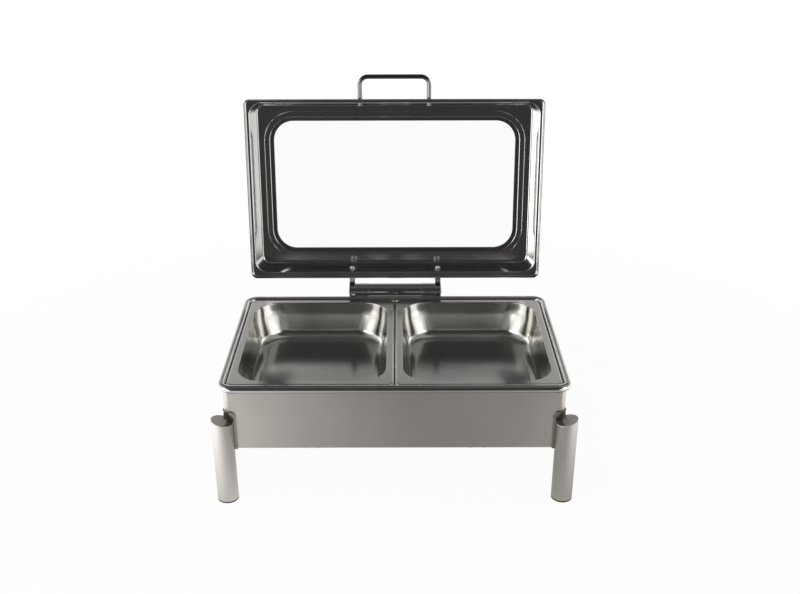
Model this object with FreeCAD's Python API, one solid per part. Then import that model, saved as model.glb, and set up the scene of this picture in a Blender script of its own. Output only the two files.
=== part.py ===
import FreeCAD, Part
import math
import os

Vector = FreeCAD.Vector

# Frame: X to the right, Y to the back, Z up, in millimetres. The origin is on the table,
# under the middle of the body. The lid is modelled closed and then turned open.

# Food pans: two half-size pans stand side by side in the rim
PAN_PITCH = 265.0
PAN_LENGTH = 325.0
PAN_SIDE_GAP = 0.4
PAN_DEPTH = 65.0
PAN_SHEET = 0.9
PAN_FLANGE = 13.0
PAN_LIP = 4.0
PAN_CORNER = 12.0
PAN_MOUTH_CORNER = 46.0
PAN_SHOULDER_DEPTH = 19.0
PAN_SHOULDER_TAPER = 1.2
PAN_WALL_TAPER = 8.0
PAN_FLOOR_RADIUS = 13.0

# Levels above the table
PAN_TOP_Z = 203.0
SKIRT_BOTTOM_Z = 90.4
SEAT_GAP = 0.3

# Water pan and its rolled rim
WATER_DEPTH = 92.0
WATER_SHEET = 1.0
LEDGE_WIDTH = 10.5
WATER_MOUTH_CORNER = 42.0
WATER_WALL_TAPER = 8.5
WATER_FLOOR_RADIUS = 12.0
BEAD_RADIUS = 6.3
BEAD_ROLL_END = 78.0
RIM_GAP = 0.3

# Body skirt: the inset is measured from the centre line of the rim's roll
SKIRT_INSET = 2.6
SKIRT_SHEET = 1.2
SKIRT_CORNER = 9.0
SKIRT_FLANGE = 12.0
SKIRT_EDGE_ROUND = 2.0

# Legs: the reach is how far a tube stands in behind the body's faces
LEG_RADIUS = 17.5
LEG_WALL = 1.5
LEG_REACH_X = 15.0
LEG_REACH_Y = 11.5
LEG_TOP_Z = 145.0
LEG_SLANT = 15.8
CAP_THICKNESS = 2.0
FOOT_HEIGHT = 3.0
FOOT_PLUG = 12.0
FOOT_PLUG_GAP = 0.2
BRACKET_SHEET = 2.0
BRACKET_WIDTH = 20.4
BRACKET_TOP_Z = 158.0
BRACKET_ROUND = 8.0
BRACKET_GAP = 0.1
INSERT_SHEET = 6.0
INSERT_HEIGHT = 40.0
LEG_SCREW_RADIUS = 2.0
LEG_SCREW_HEAD_RADIUS = 3.5
LEG_SCREW_HEAD = 4.0
LEG_SCREW_INSET = 10.4
LEG_SCREW_RISE = 16.0
LEG_SCREW_PITCH = 24.0

# Burner rails and cups
RAIL_WIDTH = 40.0
RAIL_SHEET = 2.0
RAIL_FLAT = 50.0
RAIL_FLAT_Z = 34.0
CUP_RADIUS = 44.0
CUP_HEIGHT = 44.0
CUP_SHEET = 1.0
CUP_EAR = 9.0
SNUFFER_SHEET = 1.2
SNUFFER_HOLE = 20.0
SNUFFER_TAB = 16.0
SNUFFER_TAB_RISE = 6.0
PIN_RADIUS = 2.0
PIN_GAP = 0.05
RIVET_RADIUS = 2.4
RIVET_HEAD = 1.2

# Hinge, measured from the back and the top of the rim's roll
HINGE_BACK = 12.1
HINGE_RISE = 4.5
OPEN_ANGLE = 97.6
SHAFT_RADIUS = 4.0
SHAFT_GAP = 0.05
BUSH_RADIUS = 6.0
KNUCKLE_RADIUS = 13.3
KNUCKLE_INNER_X = 50.3
KNUCKLE_OUTER_X = 74.3
SPIGOT_LENGTH = 4.0
SADDLE_SHEET = 2.0
SADDLE_OUTER_X = 84.0
SADDLE_START = -35.0
SADDLE_END = 128.0
CLAMP_HEIGHT = 5.0
CLAMP_LENGTH = 18.0
CLAMP_REACH = 17.0
CLAMP_SCREW_RADIUS = 2.0
BARREL_RADIUS = 13.0
BARREL_BORE = 11.2
RING_THICKNESS = 0.8
RING_STEP = 0.7
DAMPER_LENGTH = 42.0
DAMPER_WALL = 2.1
DAMPER_VANE_ANGLE = 30.0
ROTOR_HUB = 6.2
ROTOR_VANE_ANGLE = 22.0
ROTOR_END_GAP = 0.4
ROTOR_STOP_GAP = 3.0
VANE_GAP = 0.3
SPRING_MEAN_RADIUS = 7.4
SPRING_WIRE = 2.2
SPRING_TURNS = 6
SPRING_LENGTH = 36.0
ANCHOR_THICKNESS = 4.0
ARM_THICKNESS = 10.0
ARM_HUB_RADIUS = 12.5
ARM_HEIGHT = 11.0
ARM_SIDE_GAP = 0.4
ARM_STUD_RADIUS = 2.4
NUT_FLATS = 8.0
NUT_HEIGHT = 4.0
END_CAP_RADIUS = 7.0
END_CAP_RISE = 2.5

# Lid
LID_INSET = 0.5
LID_SEAT_GAP = 0.4
LID_SHEET = 1.0
LID_CORNER = 10.0
LIP_HEIGHT = 13.0
LIP_ROUND = 3.0
RIM_STEP = 8.2
RIM_STEP_CORNER = 22.0
WALL_RISE = 32.0
WALL_TAPER = 7.8
WALL_CORNER = 18.0
SHOULDER_RISE = 14.0
SHOULDER_RUN = 8.5
SHOULDER_BEND = 3.0
SHOULDER_ROUND = 3.0

# Window: the insets are measured from the lid's outer edge
GLASS_THICKNESS = 4.0
WINDOW_INSET = 44.0
WINDOW_CORNER = 36.0
OPENING_INSET = 33.5
GLASS_INSET = 28.5
FRAME_OUTER_INSET = 26.4
FRAME_INNER_INSET = 37.2
FRAME_HEIGHT = 3.4
FRAME_WALL = 1.2
FRAME_ROUND = 1.4
GASKET_GAP = 0.2
GASKET_SEAT = 1.6
GASKET_WALL = 3.0

# Handle
HANDLE_SPACING = 122.0
HANDLE_REACH = 37.0
HANDLE_RADIUS = 4.0
HANDLE_BEND = 14.0
HANDLE_LEVEL = 18.6
FERRULE_LENGTH = 5.0
FERRULE_RADIUS = 6.2
HANDLE_SCREW_RADIUS = 2.2
HANDLE_SCREW_DEPTH = 14.0
HANDLE_SCREW_HEAD_RADIUS = 4.2
HANDLE_SCREW_HEAD = 2.6

# Half outlines that the pieces share
RIM_X = PAN_PITCH
RIM_Y = PAN_LENGTH / 2
BEAD_X = RIM_X + RIM_GAP + BEAD_RADIUS
BEAD_Y = RIM_Y + RIM_GAP + BEAD_RADIUS
BEAD_CORNER = PAN_CORNER + RIM_GAP + BEAD_RADIUS
LEDGE_TOP_Z = PAN_TOP_Z - PAN_LIP - SEAT_GAP
BEAD_Z = LEDGE_TOP_Z + 1.2
SKIRT_X = BEAD_X - SKIRT_INSET
SKIRT_Y = BEAD_Y - SKIRT_INSET
SKIRT_TOP_Z = LEDGE_TOP_Z - WATER_SHEET - SEAT_GAP
PLATE_X = SKIRT_X + BRACKET_GAP + BRACKET_SHEET
PLATE_Y = SKIRT_Y + BRACKET_GAP + BRACKET_SHEET
PLATE_CORNER = SKIRT_CORNER + BRACKET_GAP + BRACKET_SHEET
LEG_X = SKIRT_X + LEG_RADIUS - LEG_REACH_X
LEG_Y = SKIRT_Y + LEG_RADIUS - LEG_REACH_Y
AXIS_Y = BEAD_Y + BEAD_RADIUS + HINGE_BACK
AXIS_Z = BEAD_Z + BEAD_RADIUS + HINGE_RISE
LID_X = RIM_X - LID_INSET
LID_Y = RIM_Y - LID_INSET
LID_Z = PAN_TOP_Z + LID_SEAT_GAP
STEP_Z = LID_Z + LIP_HEIGHT - LID_SHEET
FOOT_Z = STEP_Z + WALL_RISE
PANEL_Z = FOOT_Z + SHOULDER_RISE


def rounded_wire(half_x, half_y, radius, z, centre_x=0.0):
    """Closed rounded rectangle on a level plane."""
    lines = []
    inner_x, inner_y = half_x - radius, half_y - radius
    corners = ((inner_x, inner_y), (-inner_x, inner_y), (-inner_x, -inner_y), (inner_x, -inner_y))
    for number, (x, y) in enumerate(corners):
        centre = Vector(x + centre_x, y, z)
        turn = 90.0 * number
        points = [centre + polar(radius, turn + step) for step in (0, 45, 90)]
        lines.append(Part.Arc(*points).toShape())
        after = corners[(number + 1) % 4]
        start = Vector(after[0] + centre_x, after[1], z) + polar(radius, turn + 90)
        lines.append(Part.LineSegment(points[2], start).toShape())
    return Part.Wire(lines)


def polar(radius, degrees):
    angle = math.radians(degrees)
    return Vector(radius * math.cos(angle), radius * math.sin(angle), 0)


def prism(half_x, half_y, radius, low, high, centre_x=0.0):
    """Upright block with rounded corners."""
    face = Part.Face(rounded_wire(half_x, half_y, radius, low, centre_x))
    return face.extrude(Vector(0, 0, high - low))


def tapered(sections, centre_x=0.0):
    """Solid through rounded rectangles, each given as (half_x, half_y, radius, z)."""
    wires = [rounded_wire(x, y, radius, z, centre_x) for x, y, radius, z in sections]
    parts = [Part.makeLoft(list(pair), True, True) for pair in zip(wires, wires[1:])]
    return joined(parts)


def joined(shapes):
    whole = shapes[0]
    if len(shapes) > 1:
        whole = whole.fuse(shapes[1:])
    return whole.removeSplitter()


def group(shapes):
    """Separate solids that share one node."""
    solids = []
    for shape in shapes:
        solids.extend(shape.Solids)
    return Part.makeCompound(solids)


def box(x0, x1, y0, y1, z0, z1):
    return Part.makeBox(x1 - x0, y1 - y0, z1 - z0, Vector(x0, y0, z0))


def disc_x(radius, x0, x1, y=0.0, z=0.0):
    """Cylinder along X."""
    return Part.makeCylinder(radius, x1 - x0, Vector(x0, y, z), Vector(1, 0, 0))


def disc_z(radius, z0, z1, x=0.0, y=0.0):
    """Cylinder along Z."""
    return Part.makeCylinder(radius, z1 - z0, Vector(x, y, z0), Vector(0, 0, 1))


def profile_x(points, x0, x1):
    """Outline in the YZ plane, given as (y, z) points, carried along X."""
    corners = [Vector(x0, y, z) for y, z in points]
    face = Part.Face(Part.makePolygon(corners + corners[:1]))
    return face.extrude(Vector(x1 - x0, 0, 0))


def mirror_x(shape):
    return shape.mirror(Vector(), Vector(1, 0, 0))


def mirror_y(shape):
    return shape.mirror(Vector(), Vector(0, 1, 0))


def rounded_edges(shape, radius, chosen):
    """Fillet on the edges that the test picks."""
    edges = [edge for edge in shape.Edges if chosen(edge.BoundBox)]
    return shape.makeFillet(radius, edges)


def level_edges(z):
    return lambda bounds: abs(bounds.ZMin - z) < 0.01 and abs(bounds.ZMax - z) < 0.01


def swept_ring(face, half_x, half_y, radius):
    """Carries a section, drawn at X = 0 in the XZ plane, round a rounded rectangle."""
    section = face.copy()
    section.translate(Vector(radius, 0, 0))
    inner_x, inner_y = half_x - radius, half_y - radius
    corners = ((inner_x, inner_y), (-inner_x, inner_y), (-inner_x, -inner_y), (inner_x, -inner_y))
    pieces = []
    for number, (x, y) in enumerate(corners):
        length = 2 * (inner_y if number % 2 == 0 else inner_x)
        for piece in (section.revolve(Vector(), Vector(0, 0, 1), 90), section.extrude(Vector(0, -length, 0))):
            piece.rotate(Vector(), Vector(0, 0, 1), 90 * number)
            piece.translate(Vector(x, y, 0))
            pieces.append(piece)
    return joined(pieces)


def four_corners(shape):
    """Copies of the rear right piece at the four corners, under their names."""
    front = mirror_y(shape)
    return {"rear_right": shape, "rear_left": mirror_x(shape), "front_right": front, "front_left": mirror_x(front)}


def make_food_pan(side):
    """Half-size pan: flat flange with a turned-down lip, stepped wall, rounded floor."""
    centre = side * PAN_PITCH / 2
    half_x = PAN_PITCH / 2 - PAN_SIDE_GAP
    half_y = RIM_Y - PAN_SIDE_GAP
    sheet = PAN_SHEET
    flange = prism(half_x, half_y, PAN_CORNER, PAN_TOP_Z - PAN_LIP, PAN_TOP_Z, centre)
    flange = rounded_edges(flange, PAN_LIP * 0.7, level_edges(PAN_TOP_Z))
    under = prism(half_x - sheet, half_y - sheet, PAN_CORNER - sheet,
                  PAN_TOP_Z - PAN_LIP, PAN_TOP_Z - sheet, centre)
    under = rounded_edges(under, PAN_LIP * 0.7 - sheet, level_edges(PAN_TOP_Z - sheet))
    mouth_x, mouth_y = half_x - PAN_FLANGE, half_y - PAN_FLANGE
    shoulder_z = PAN_TOP_Z - PAN_SHOULDER_DEPTH
    floor_z = PAN_TOP_Z - PAN_DEPTH
    insets = ((0.0, PAN_TOP_Z), (PAN_SHOULDER_TAPER, shoulder_z),
              (PAN_SHOULDER_TAPER + PAN_WALL_TAPER, floor_z + sheet))
    hollow = tapered([(mouth_x - inset, mouth_y - inset, PAN_MOUTH_CORNER - inset, z)
                      for inset, z in insets], centre)
    hollow = rounded_edges(hollow, PAN_FLOOR_RADIUS, level_edges(floor_z + sheet))
    skin = tapered([(mouth_x - inset + sheet, mouth_y - inset + sheet, PAN_MOUTH_CORNER - inset + sheet, z)
                    for (inset, _), z in zip(insets, (PAN_TOP_Z - sheet, shoulder_z, floor_z))], centre)
    skin = rounded_edges(skin, PAN_FLOOR_RADIUS + sheet, level_edges(floor_z))
    return flange.cut(under).fuse(skin).cut(hollow).removeSplitter()


def bead_section():
    """Rolled rim: a short riser from the ledge that runs into a nearly closed roll."""
    centre = Vector(0, 0, BEAD_Z)
    inner = BEAD_RADIUS - WATER_SHEET

    def on_roll(radius, degrees):
        angle = math.radians(degrees)
        return centre + Vector(radius * math.cos(angle), 0, radius * math.sin(angle))

    foot_z = LEDGE_TOP_Z - WATER_SHEET
    end = -BEAD_ROLL_END
    outer_foot = Vector(-BEAD_RADIUS, 0, foot_z)
    inner_foot = Vector(-inner, 0, foot_z)
    edges = [
        Part.LineSegment(outer_foot, on_roll(BEAD_RADIUS, 180)).toShape(),
        Part.Arc(on_roll(BEAD_RADIUS, 180), on_roll(BEAD_RADIUS, 60), on_roll(BEAD_RADIUS, end)).toShape(),
        Part.LineSegment(on_roll(BEAD_RADIUS, end), on_roll(inner, end)).toShape(),
        Part.Arc(on_roll(inner, end), on_roll(inner, 60), on_roll(inner, 180)).toShape(),
        Part.LineSegment(on_roll(inner, 180), inner_foot).toShape(),
        Part.LineSegment(inner_foot, outer_foot).toShape(),
    ]
    return Part.Face(Part.Wire(edges))


def make_water_pan():
    """Deep pan with a ledge under the food pans' flanges and the rolled rim round them."""
    sheet = WATER_SHEET
    bead = swept_ring(bead_section(), BEAD_X, BEAD_Y, BEAD_CORNER)
    reach = BEAD_RADIUS - sheet
    ledge = prism(BEAD_X - reach, BEAD_Y - reach, BEAD_CORNER - reach, LEDGE_TOP_Z - sheet, LEDGE_TOP_Z)
    mouth_x, mouth_y = RIM_X - LEDGE_WIDTH, RIM_Y - LEDGE_WIDTH
    floor_z = LEDGE_TOP_Z - WATER_DEPTH
    taper = WATER_WALL_TAPER
    corner = WATER_MOUTH_CORNER
    hollow = tapered([(mouth_x, mouth_y, corner, LEDGE_TOP_Z),
                      (mouth_x - taper, mouth_y - taper, corner - taper, floor_z + sheet)])
    hollow = rounded_edges(hollow, WATER_FLOOR_RADIUS, level_edges(floor_z + sheet))
    skin = tapered([(mouth_x + sheet, mouth_y + sheet, corner + sheet, LEDGE_TOP_Z - sheet),
                    (mouth_x - taper + sheet, mouth_y - taper + sheet, corner - taper + sheet, floor_z)])
    skin = rounded_edges(skin, WATER_FLOOR_RADIUS + sheet, level_edges(floor_z))
    return ledge.fuse([skin, bead]).cut(hollow).removeSplitter()


def screw_places():
    """Where the leg screws pass the rear face: (x, z) for the right-hand corner."""
    x = SKIRT_X - LEG_SCREW_INSET
    low = SKIRT_BOTTOM_Z + LEG_SCREW_RISE
    return ((x, low), (x, low + LEG_SCREW_PITCH))


def make_skirt():
    """Body shell with an inward flange above and below and the holes of the leg screws."""
    sheet = SKIRT_SHEET
    shell = prism(SKIRT_X, SKIRT_Y, SKIRT_CORNER, SKIRT_BOTTOM_Z, SKIRT_TOP_Z)
    shell = rounded_edges(shell, SKIRT_EDGE_ROUND,
                          lambda b: level_edges(SKIRT_TOP_Z)(b) or level_edges(SKIRT_BOTTOM_Z)(b))
    inside = prism(SKIRT_X - sheet, SKIRT_Y - sheet, SKIRT_CORNER - sheet,
                   SKIRT_BOTTOM_Z + sheet, SKIRT_TOP_Z - sheet)
    mouth = prism(SKIRT_X - SKIRT_FLANGE, SKIRT_Y - SKIRT_FLANGE, WATER_MOUTH_CORNER,
                  SKIRT_BOTTOM_Z - 1, SKIRT_TOP_Z + 1)
    shell = shell.cut([inside, mouth])
    for x, z in screw_places():
        hole = Part.makeCylinder(LEG_SCREW_RADIUS + BRACKET_GAP, 4 * SKIRT_Y, Vector(x, -2 * SKIRT_Y, z),
                                 Vector(0, 1, 0))
        shell = shell.cut([hole, mirror_x(hole)])
    return shell


def slant_block(z):
    """Everything above the slanted plane through (LEG_X, z); the plane rises outwards."""
    size = PAN_TOP_Z
    block = box(-size, size, -size, size, 0, size)
    block.rotate(Vector(), Vector(0, 1, 0), -LEG_SLANT)
    block.translate(Vector(LEG_X, LEG_Y, z))
    return block


def corner_block():
    """Room that the body's corner and its plate take out of a leg."""
    gap = BRACKET_GAP
    return prism(PLATE_X + gap, PLATE_Y + gap, PLATE_CORNER + gap, SKIRT_BOTTOM_Z - 2 * gap, PAN_TOP_Z)


def make_leg():
    """Rear right tube: notched round the body's corner and cut at a slant on top."""
    tube = disc_z(LEG_RADIUS, FOOT_HEIGHT, PAN_TOP_Z, LEG_X, LEG_Y)
    bore = disc_z(LEG_RADIUS - LEG_WALL, 0, PAN_TOP_Z, LEG_X, LEG_Y)
    return tube.cut([bore, corner_block(), slant_block(LEG_TOP_Z - CAP_THICKNESS)])


def make_leg_cap():
    """Slanted disc that closes the rear right tube."""
    rod = disc_z(LEG_RADIUS, SKIRT_BOTTOM_Z, PAN_TOP_Z, LEG_X, LEG_Y)
    below = rod.common(slant_block(LEG_TOP_Z - CAP_THICKNESS))
    return below.cut([slant_block(LEG_TOP_Z), corner_block()])


def make_foot():
    """Glide with a plug that sits in the rear right tube."""
    pad = disc_z(LEG_RADIUS, 0, FOOT_HEIGHT, LEG_X, LEG_Y)
    pad = rounded_edges(pad, FOOT_HEIGHT / 3, level_edges(0))
    plug = disc_z(LEG_RADIUS - LEG_WALL - FOOT_PLUG_GAP, FOOT_HEIGHT, FOOT_HEIGHT + FOOT_PLUG, LEG_X, LEG_Y)
    return pad.fuse(plug)


def make_bracket():
    """Angle plate round the rear right corner, with its two free top corners rounded."""
    gap = BRACKET_GAP
    outer = prism(PLATE_X, PLATE_Y, PLATE_CORNER, SKIRT_BOTTOM_Z, BRACKET_TOP_Z)
    inner = prism(SKIRT_X + gap, SKIRT_Y + gap, SKIRT_CORNER + gap, SKIRT_BOTTOM_Z, BRACKET_TOP_Z)
    keep = box(PLATE_X - BRACKET_WIDTH, PLATE_X + 1, PLATE_Y - BRACKET_WIDTH, PLATE_Y + 1,
               SKIRT_BOTTOM_Z, BRACKET_TOP_Z)
    plate = outer.cut(inner).common(keep)

    def free_top(bounds):
        on_x_arm = abs(bounds.XMax - (PLATE_X - BRACKET_WIDTH)) < 0.01
        on_y_arm = abs(bounds.YMax - (PLATE_Y - BRACKET_WIDTH)) < 0.01
        return level_edges(BRACKET_TOP_Z)(bounds) and (on_x_arm or on_y_arm)

    plate = rounded_edges(plate, BRACKET_ROUND, free_top)
    for x, z in screw_places():
        plate = plate.cut(screw_hole(x, z))
    return plate


def screw_hole(x, z):
    return Part.makeCylinder(LEG_SCREW_RADIUS + BRACKET_GAP, 3 * LEG_RADIUS,
                             Vector(x, SKIRT_Y - LEG_RADIUS, z), Vector(0, 1, 0))


def make_insert():
    """Threaded angle bar inside the rear right tube, along the notch."""
    gap = 2 * BRACKET_GAP
    low = SKIRT_BOTTOM_Z + 6
    high = low + INSERT_HEIGHT
    outer = prism(PLATE_X + INSERT_SHEET, PLATE_Y + INSERT_SHEET, PLATE_CORNER + INSERT_SHEET, low, high)
    inner = prism(PLATE_X + gap, PLATE_Y + gap, PLATE_CORNER + gap, low, high)
    room = disc_z(LEG_RADIUS - LEG_WALL - BRACKET_GAP, low, high, LEG_X, LEG_Y)
    bar = outer.cut(inner).common(room)
    for x, z in screw_places():
        bar = bar.cut(screw_hole(x, z))
    return bar


def make_leg_screws():
    """Cap screws of the rear right leg: head inside the skirt, point in the insert."""
    screws = []
    inside = SKIRT_Y - SKIRT_SHEET - SEAT_GAP
    for x, z in screw_places():
        shank = Part.makeCylinder(LEG_SCREW_RADIUS, PLATE_Y + INSERT_SHEET - inside, Vector(x, inside, z),
                                  Vector(0, 1, 0))
        head = Part.makeCylinder(LEG_SCREW_HEAD_RADIUS, LEG_SCREW_HEAD,
                                 Vector(x, inside - LEG_SCREW_HEAD, z), Vector(0, 1, 0))
        head = rounded_edges(head, LEG_SCREW_HEAD / 8, lambda b: abs(b.YMax - (inside - LEG_SCREW_HEAD)) < 0.01)
        screws.append(shank.fuse(head).removeSplitter())
    return screws


def rail_tab_y():
    """Middle of the rail's end tab on the skirt's lower flange."""
    return SKIRT_Y - SKIRT_SHEET - (SKIRT_FLANGE - SKIRT_SHEET) / 2


def make_rail(side):
    """Bent strip that hangs across the body under one food pan."""
    top = SKIRT_BOTTOM_Z + SKIRT_SHEET
    knee_y = SKIRT_Y - SKIRT_FLANGE - 1
    end_y = SKIRT_Y - SKIRT_SHEET - 1
    sheet = RAIL_SHEET
    slope = math.atan2(top - RAIL_FLAT_Z, knee_y - RAIL_FLAT)
    lean = sheet * math.tan(slope / 2)
    lower = [(end_y, top), (knee_y, top), (RAIL_FLAT, RAIL_FLAT_Z)]
    upper = [(RAIL_FLAT - lean, RAIL_FLAT_Z + sheet), (knee_y - lean, top + sheet), (end_y, top + sheet)]
    front_lower = [(-y, z) for y, z in reversed(lower)]
    front_upper = [(-y, z) for y, z in reversed(upper)]
    centre = side * PAN_PITCH / 2
    strip = profile_x(lower + front_lower + front_upper + upper, centre - RAIL_WIDTH / 2, centre + RAIL_WIDTH / 2)
    holes = [disc_z(RIVET_RADIUS + PIN_GAP, 0, PAN_TOP_Z, x, y) for x, y in rail_rivet_places(side)]
    holes.append(disc_z(RIVET_RADIUS + PIN_GAP, 0, PAN_TOP_Z, centre, 0))
    return strip.cut(holes)


def rail_rivet_places(side):
    offset = RAIL_WIDTH / 4
    centre = side * PAN_PITCH / 2
    return [(centre + dx, end * rail_tab_y()) for dx in (-offset, offset) for end in (-1, 1)]


def make_rivet(x, y, low, high):
    """Rivet with a flat head above and below the sheets that it holds."""
    shank = disc_z(RIVET_RADIUS, low, high, x, y)
    head = RIVET_RADIUS * 1.7
    return shank.fuse([disc_z(head, high, high + RIVET_HEAD, x, y), disc_z(head, low - RIVET_HEAD, low, x, y)])


def make_cup(side):
    """Open cup for a fuel can with an ear that carries the cover's pin."""
    centre = side * PAN_PITCH / 2
    low = RAIL_FLAT_Z + RAIL_SHEET
    high = low + CUP_HEIGHT
    cup = disc_z(CUP_RADIUS, low, high, centre, 0)
    cup = rounded_edges(cup, 4, level_edges(low))
    hollow = disc_z(CUP_RADIUS - CUP_SHEET, low + CUP_SHEET, high, centre, 0)
    hollow = rounded_edges(hollow, 4 - CUP_SHEET, level_edges(low + CUP_SHEET))
    pin_x = pin_place(side)
    ear = disc_z(CUP_EAR / 2, high - SNUFFER_SHEET, high, pin_x, 0)
    near, far = sorted((centre + side * (CUP_RADIUS - 2), pin_x))
    web = box(near, far, -CUP_EAR / 2, CUP_EAR / 2, high - SNUFFER_SHEET, high)
    cup = cup.fuse([ear, web]).cut([hollow, disc_z(PIN_RADIUS + PIN_GAP, low, high, pin_x, 0),
                                    disc_z(RIVET_RADIUS + PIN_GAP, 0, high, centre, 0)])
    return cup.removeSplitter()


def pin_place(side):
    return side * (PAN_PITCH / 2 + CUP_RADIUS + CUP_EAR / 2 + 2)


def make_pin(side):
    """Shouldered pin that the cover turns on."""
    x = pin_place(side)
    top = RAIL_FLAT_Z + RAIL_SHEET + CUP_HEIGHT
    low = top - SNUFFER_SHEET - 0.1
    high = top + SNUFFER_SHEET + 2 * SEAT_GAP
    shank = disc_z(PIN_RADIUS, low, high, x, 0)
    head = PIN_RADIUS * 1.8
    return shank.fuse([disc_z(head, high, high + 1, x, 0), disc_z(head, low - 1, low, x, 0)])


def make_snuffer(side):
    """Burner cover: disc with a flame hole, an ear on the pin and a bent-up finger tab."""
    centre = side * PAN_PITCH / 2
    low = RAIL_FLAT_Z + RAIL_SHEET + CUP_HEIGHT + SEAT_GAP
    high = low + SNUFFER_SHEET
    pin_x = pin_place(side)
    disc = disc_z(CUP_RADIUS, low, high, centre, 0)
    near, far = sorted((centre + side * (CUP_RADIUS - 2), pin_x))
    web = box(near, far, -CUP_EAR / 2, CUP_EAR / 2, low, high)
    ear = disc_z(CUP_EAR / 2, low, high, pin_x, 0)
    edge = centre - side * CUP_RADIUS
    tab_x = sorted((edge - side * 8, edge + side * 2))
    tab = box(tab_x[0], tab_x[1], -SNUFFER_TAB / 2, SNUFFER_TAB / 2, low, high)
    up_x = sorted((edge - side * 8, edge - side * (8 - SNUFFER_SHEET)))
    rise = box(up_x[0], up_x[1], -SNUFFER_TAB / 2, SNUFFER_TAB / 2, low, high + SNUFFER_TAB_RISE)
    cover = disc.fuse([web, ear, tab, rise])
    return cover.cut([disc_z(SNUFFER_HOLE, low, high, centre, 0),
                      disc_z(PIN_RADIUS + PIN_GAP, low, high, pin_x, 0)]).removeSplitter()


def saddle_section(x0, x1):
    """Shell that wraps the rear rim's roll from its inner top to its outer side."""
    centre = Vector(x0, BEAD_Y, BEAD_Z)
    inner = BEAD_RADIUS + BRACKET_GAP
    outer = inner + SADDLE_SHEET
    middle = (SADDLE_START + SADDLE_END) / 2

    def on_arc(radius, degrees):
        angle = math.radians(degrees)
        return centre + Vector(0, radius * math.cos(angle), radius * math.sin(angle))

    edges = [
        Part.Arc(*[on_arc(outer, a) for a in (SADDLE_START, middle, SADDLE_END)]).toShape(),
        Part.LineSegment(on_arc(outer, SADDLE_END), on_arc(inner, SADDLE_END)).toShape(),
        Part.Arc(*[on_arc(inner, a) for a in (SADDLE_END, middle, SADDLE_START)]).toShape(),
        Part.LineSegment(on_arc(inner, SADDLE_START), on_arc(outer, SADDLE_START)).toShape(),
    ]
    return Part.Face(Part.Wire(edges)).extrude(Vector(x1 - x0, 0, 0))


def clamp_y():
    """Front edge, rear edge and screw line of the clamp under the rim."""
    front = BEAD_Y
    return front, front + CLAMP_REACH, front + CLAMP_REACH - 4.5


def make_hinge_bracket():
    """Right-hand knuckle with its bush bore, spigot, saddle and clamp boss."""
    front, rear, screw_y = clamp_y()
    boss_z = BEAD_Z - BEAD_RADIUS + SEAT_GAP
    knuckle = disc_x(KNUCKLE_RADIUS, KNUCKLE_INNER_X, KNUCKLE_OUTER_X, AXIS_Y, AXIS_Z)
    spigot = disc_x(BARREL_BORE - BRACKET_GAP, KNUCKLE_INNER_X - SPIGOT_LENGTH, KNUCKLE_INNER_X, AXIS_Y, AXIS_Z)
    saddle = saddle_section(KNUCKLE_INNER_X + 1, SADDLE_OUTER_X)
    web = profile_x([(BEAD_Y + 4, BEAD_Z), (BEAD_Y + 4, BEAD_Z + BEAD_RADIUS + SADDLE_SHEET - 1),
                     (AXIS_Y, AXIS_Z), (rear, AXIS_Z - 4), (rear, boss_z), (screw_y - 4.5, boss_z)],
                    KNUCKLE_INNER_X + 1, KNUCKLE_OUTER_X)
    roll = disc_x(BEAD_RADIUS + BRACKET_GAP, 0, SADDLE_OUTER_X, BEAD_Y, BEAD_Z)
    bore = disc_x(BUSH_RADIUS + BRACKET_GAP, 0, SADDLE_OUTER_X, AXIS_Y, AXIS_Z)
    body = knuckle.fuse([spigot, web.cut(roll), saddle])
    holes = [disc_z(CLAMP_SCREW_RADIUS, 0, boss_z + 7, x, screw_y) for x in clamp_screw_places()]
    return body.cut([bore] + holes).removeSplitter()


def clamp_screw_places():
    middle = (KNUCKLE_INNER_X + 1 + KNUCKLE_OUTER_X) / 2
    return (middle - CLAMP_LENGTH / 4, middle + CLAMP_LENGTH / 4)


def make_clamp():
    """Right-hand jaw that grips the roll from below."""
    front, rear, screw_y = clamp_y()
    top = BEAD_Z - BEAD_RADIUS
    middle = sum(clamp_screw_places()) / 2
    jaw = box(middle - CLAMP_LENGTH / 2, middle + CLAMP_LENGTH / 2, front, rear, top - CLAMP_HEIGHT, top)
    jaw = jaw.cut(disc_x(BEAD_RADIUS + BRACKET_GAP, 0, SADDLE_OUTER_X, BEAD_Y, BEAD_Z))
    holes = [disc_z(CLAMP_SCREW_RADIUS + BRACKET_GAP, 0, top, x, screw_y) for x in clamp_screw_places()]
    return jaw.cut(holes)


def make_clamp_screws():
    """The two right-hand screws, heads below the jaw."""
    screw_y = clamp_y()[2]
    low = BEAD_Z - BEAD_RADIUS - CLAMP_HEIGHT
    screws = []
    for x in clamp_screw_places():
        shank = disc_z(CLAMP_SCREW_RADIUS - 0.05, low, low + CLAMP_HEIGHT + 6, x, screw_y)
        head = disc_z(CLAMP_SCREW_RADIUS * 1.8, low - 2.4, low, x, screw_y)
        screws.append(shank.fuse(head))
    return screws


def barrel_half():
    """Half length of the middle sleeve: what the knuckles and the end rings leave."""
    return KNUCKLE_INNER_X - RING_THICKNESS - 2 * BRACKET_GAP


def make_barrel():
    half = barrel_half()
    sleeve = disc_x(BARREL_RADIUS, -half, half, AXIS_Y, AXIS_Z)
    return sleeve.cut(disc_x(BARREL_BORE, -half, half, AXIS_Y, AXIS_Z))


def make_ring():
    """Right-hand polished ring between the sleeve and the knuckle."""
    start = barrel_half() + BRACKET_GAP
    ring = disc_x(BARREL_RADIUS + RING_STEP, start, start + RING_THICKNESS, AXIS_Y, AXIS_Z)
    return ring.cut(disc_x(BARREL_BORE, start, start + RING_THICKNESS, AXIS_Y, AXIS_Z))


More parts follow.
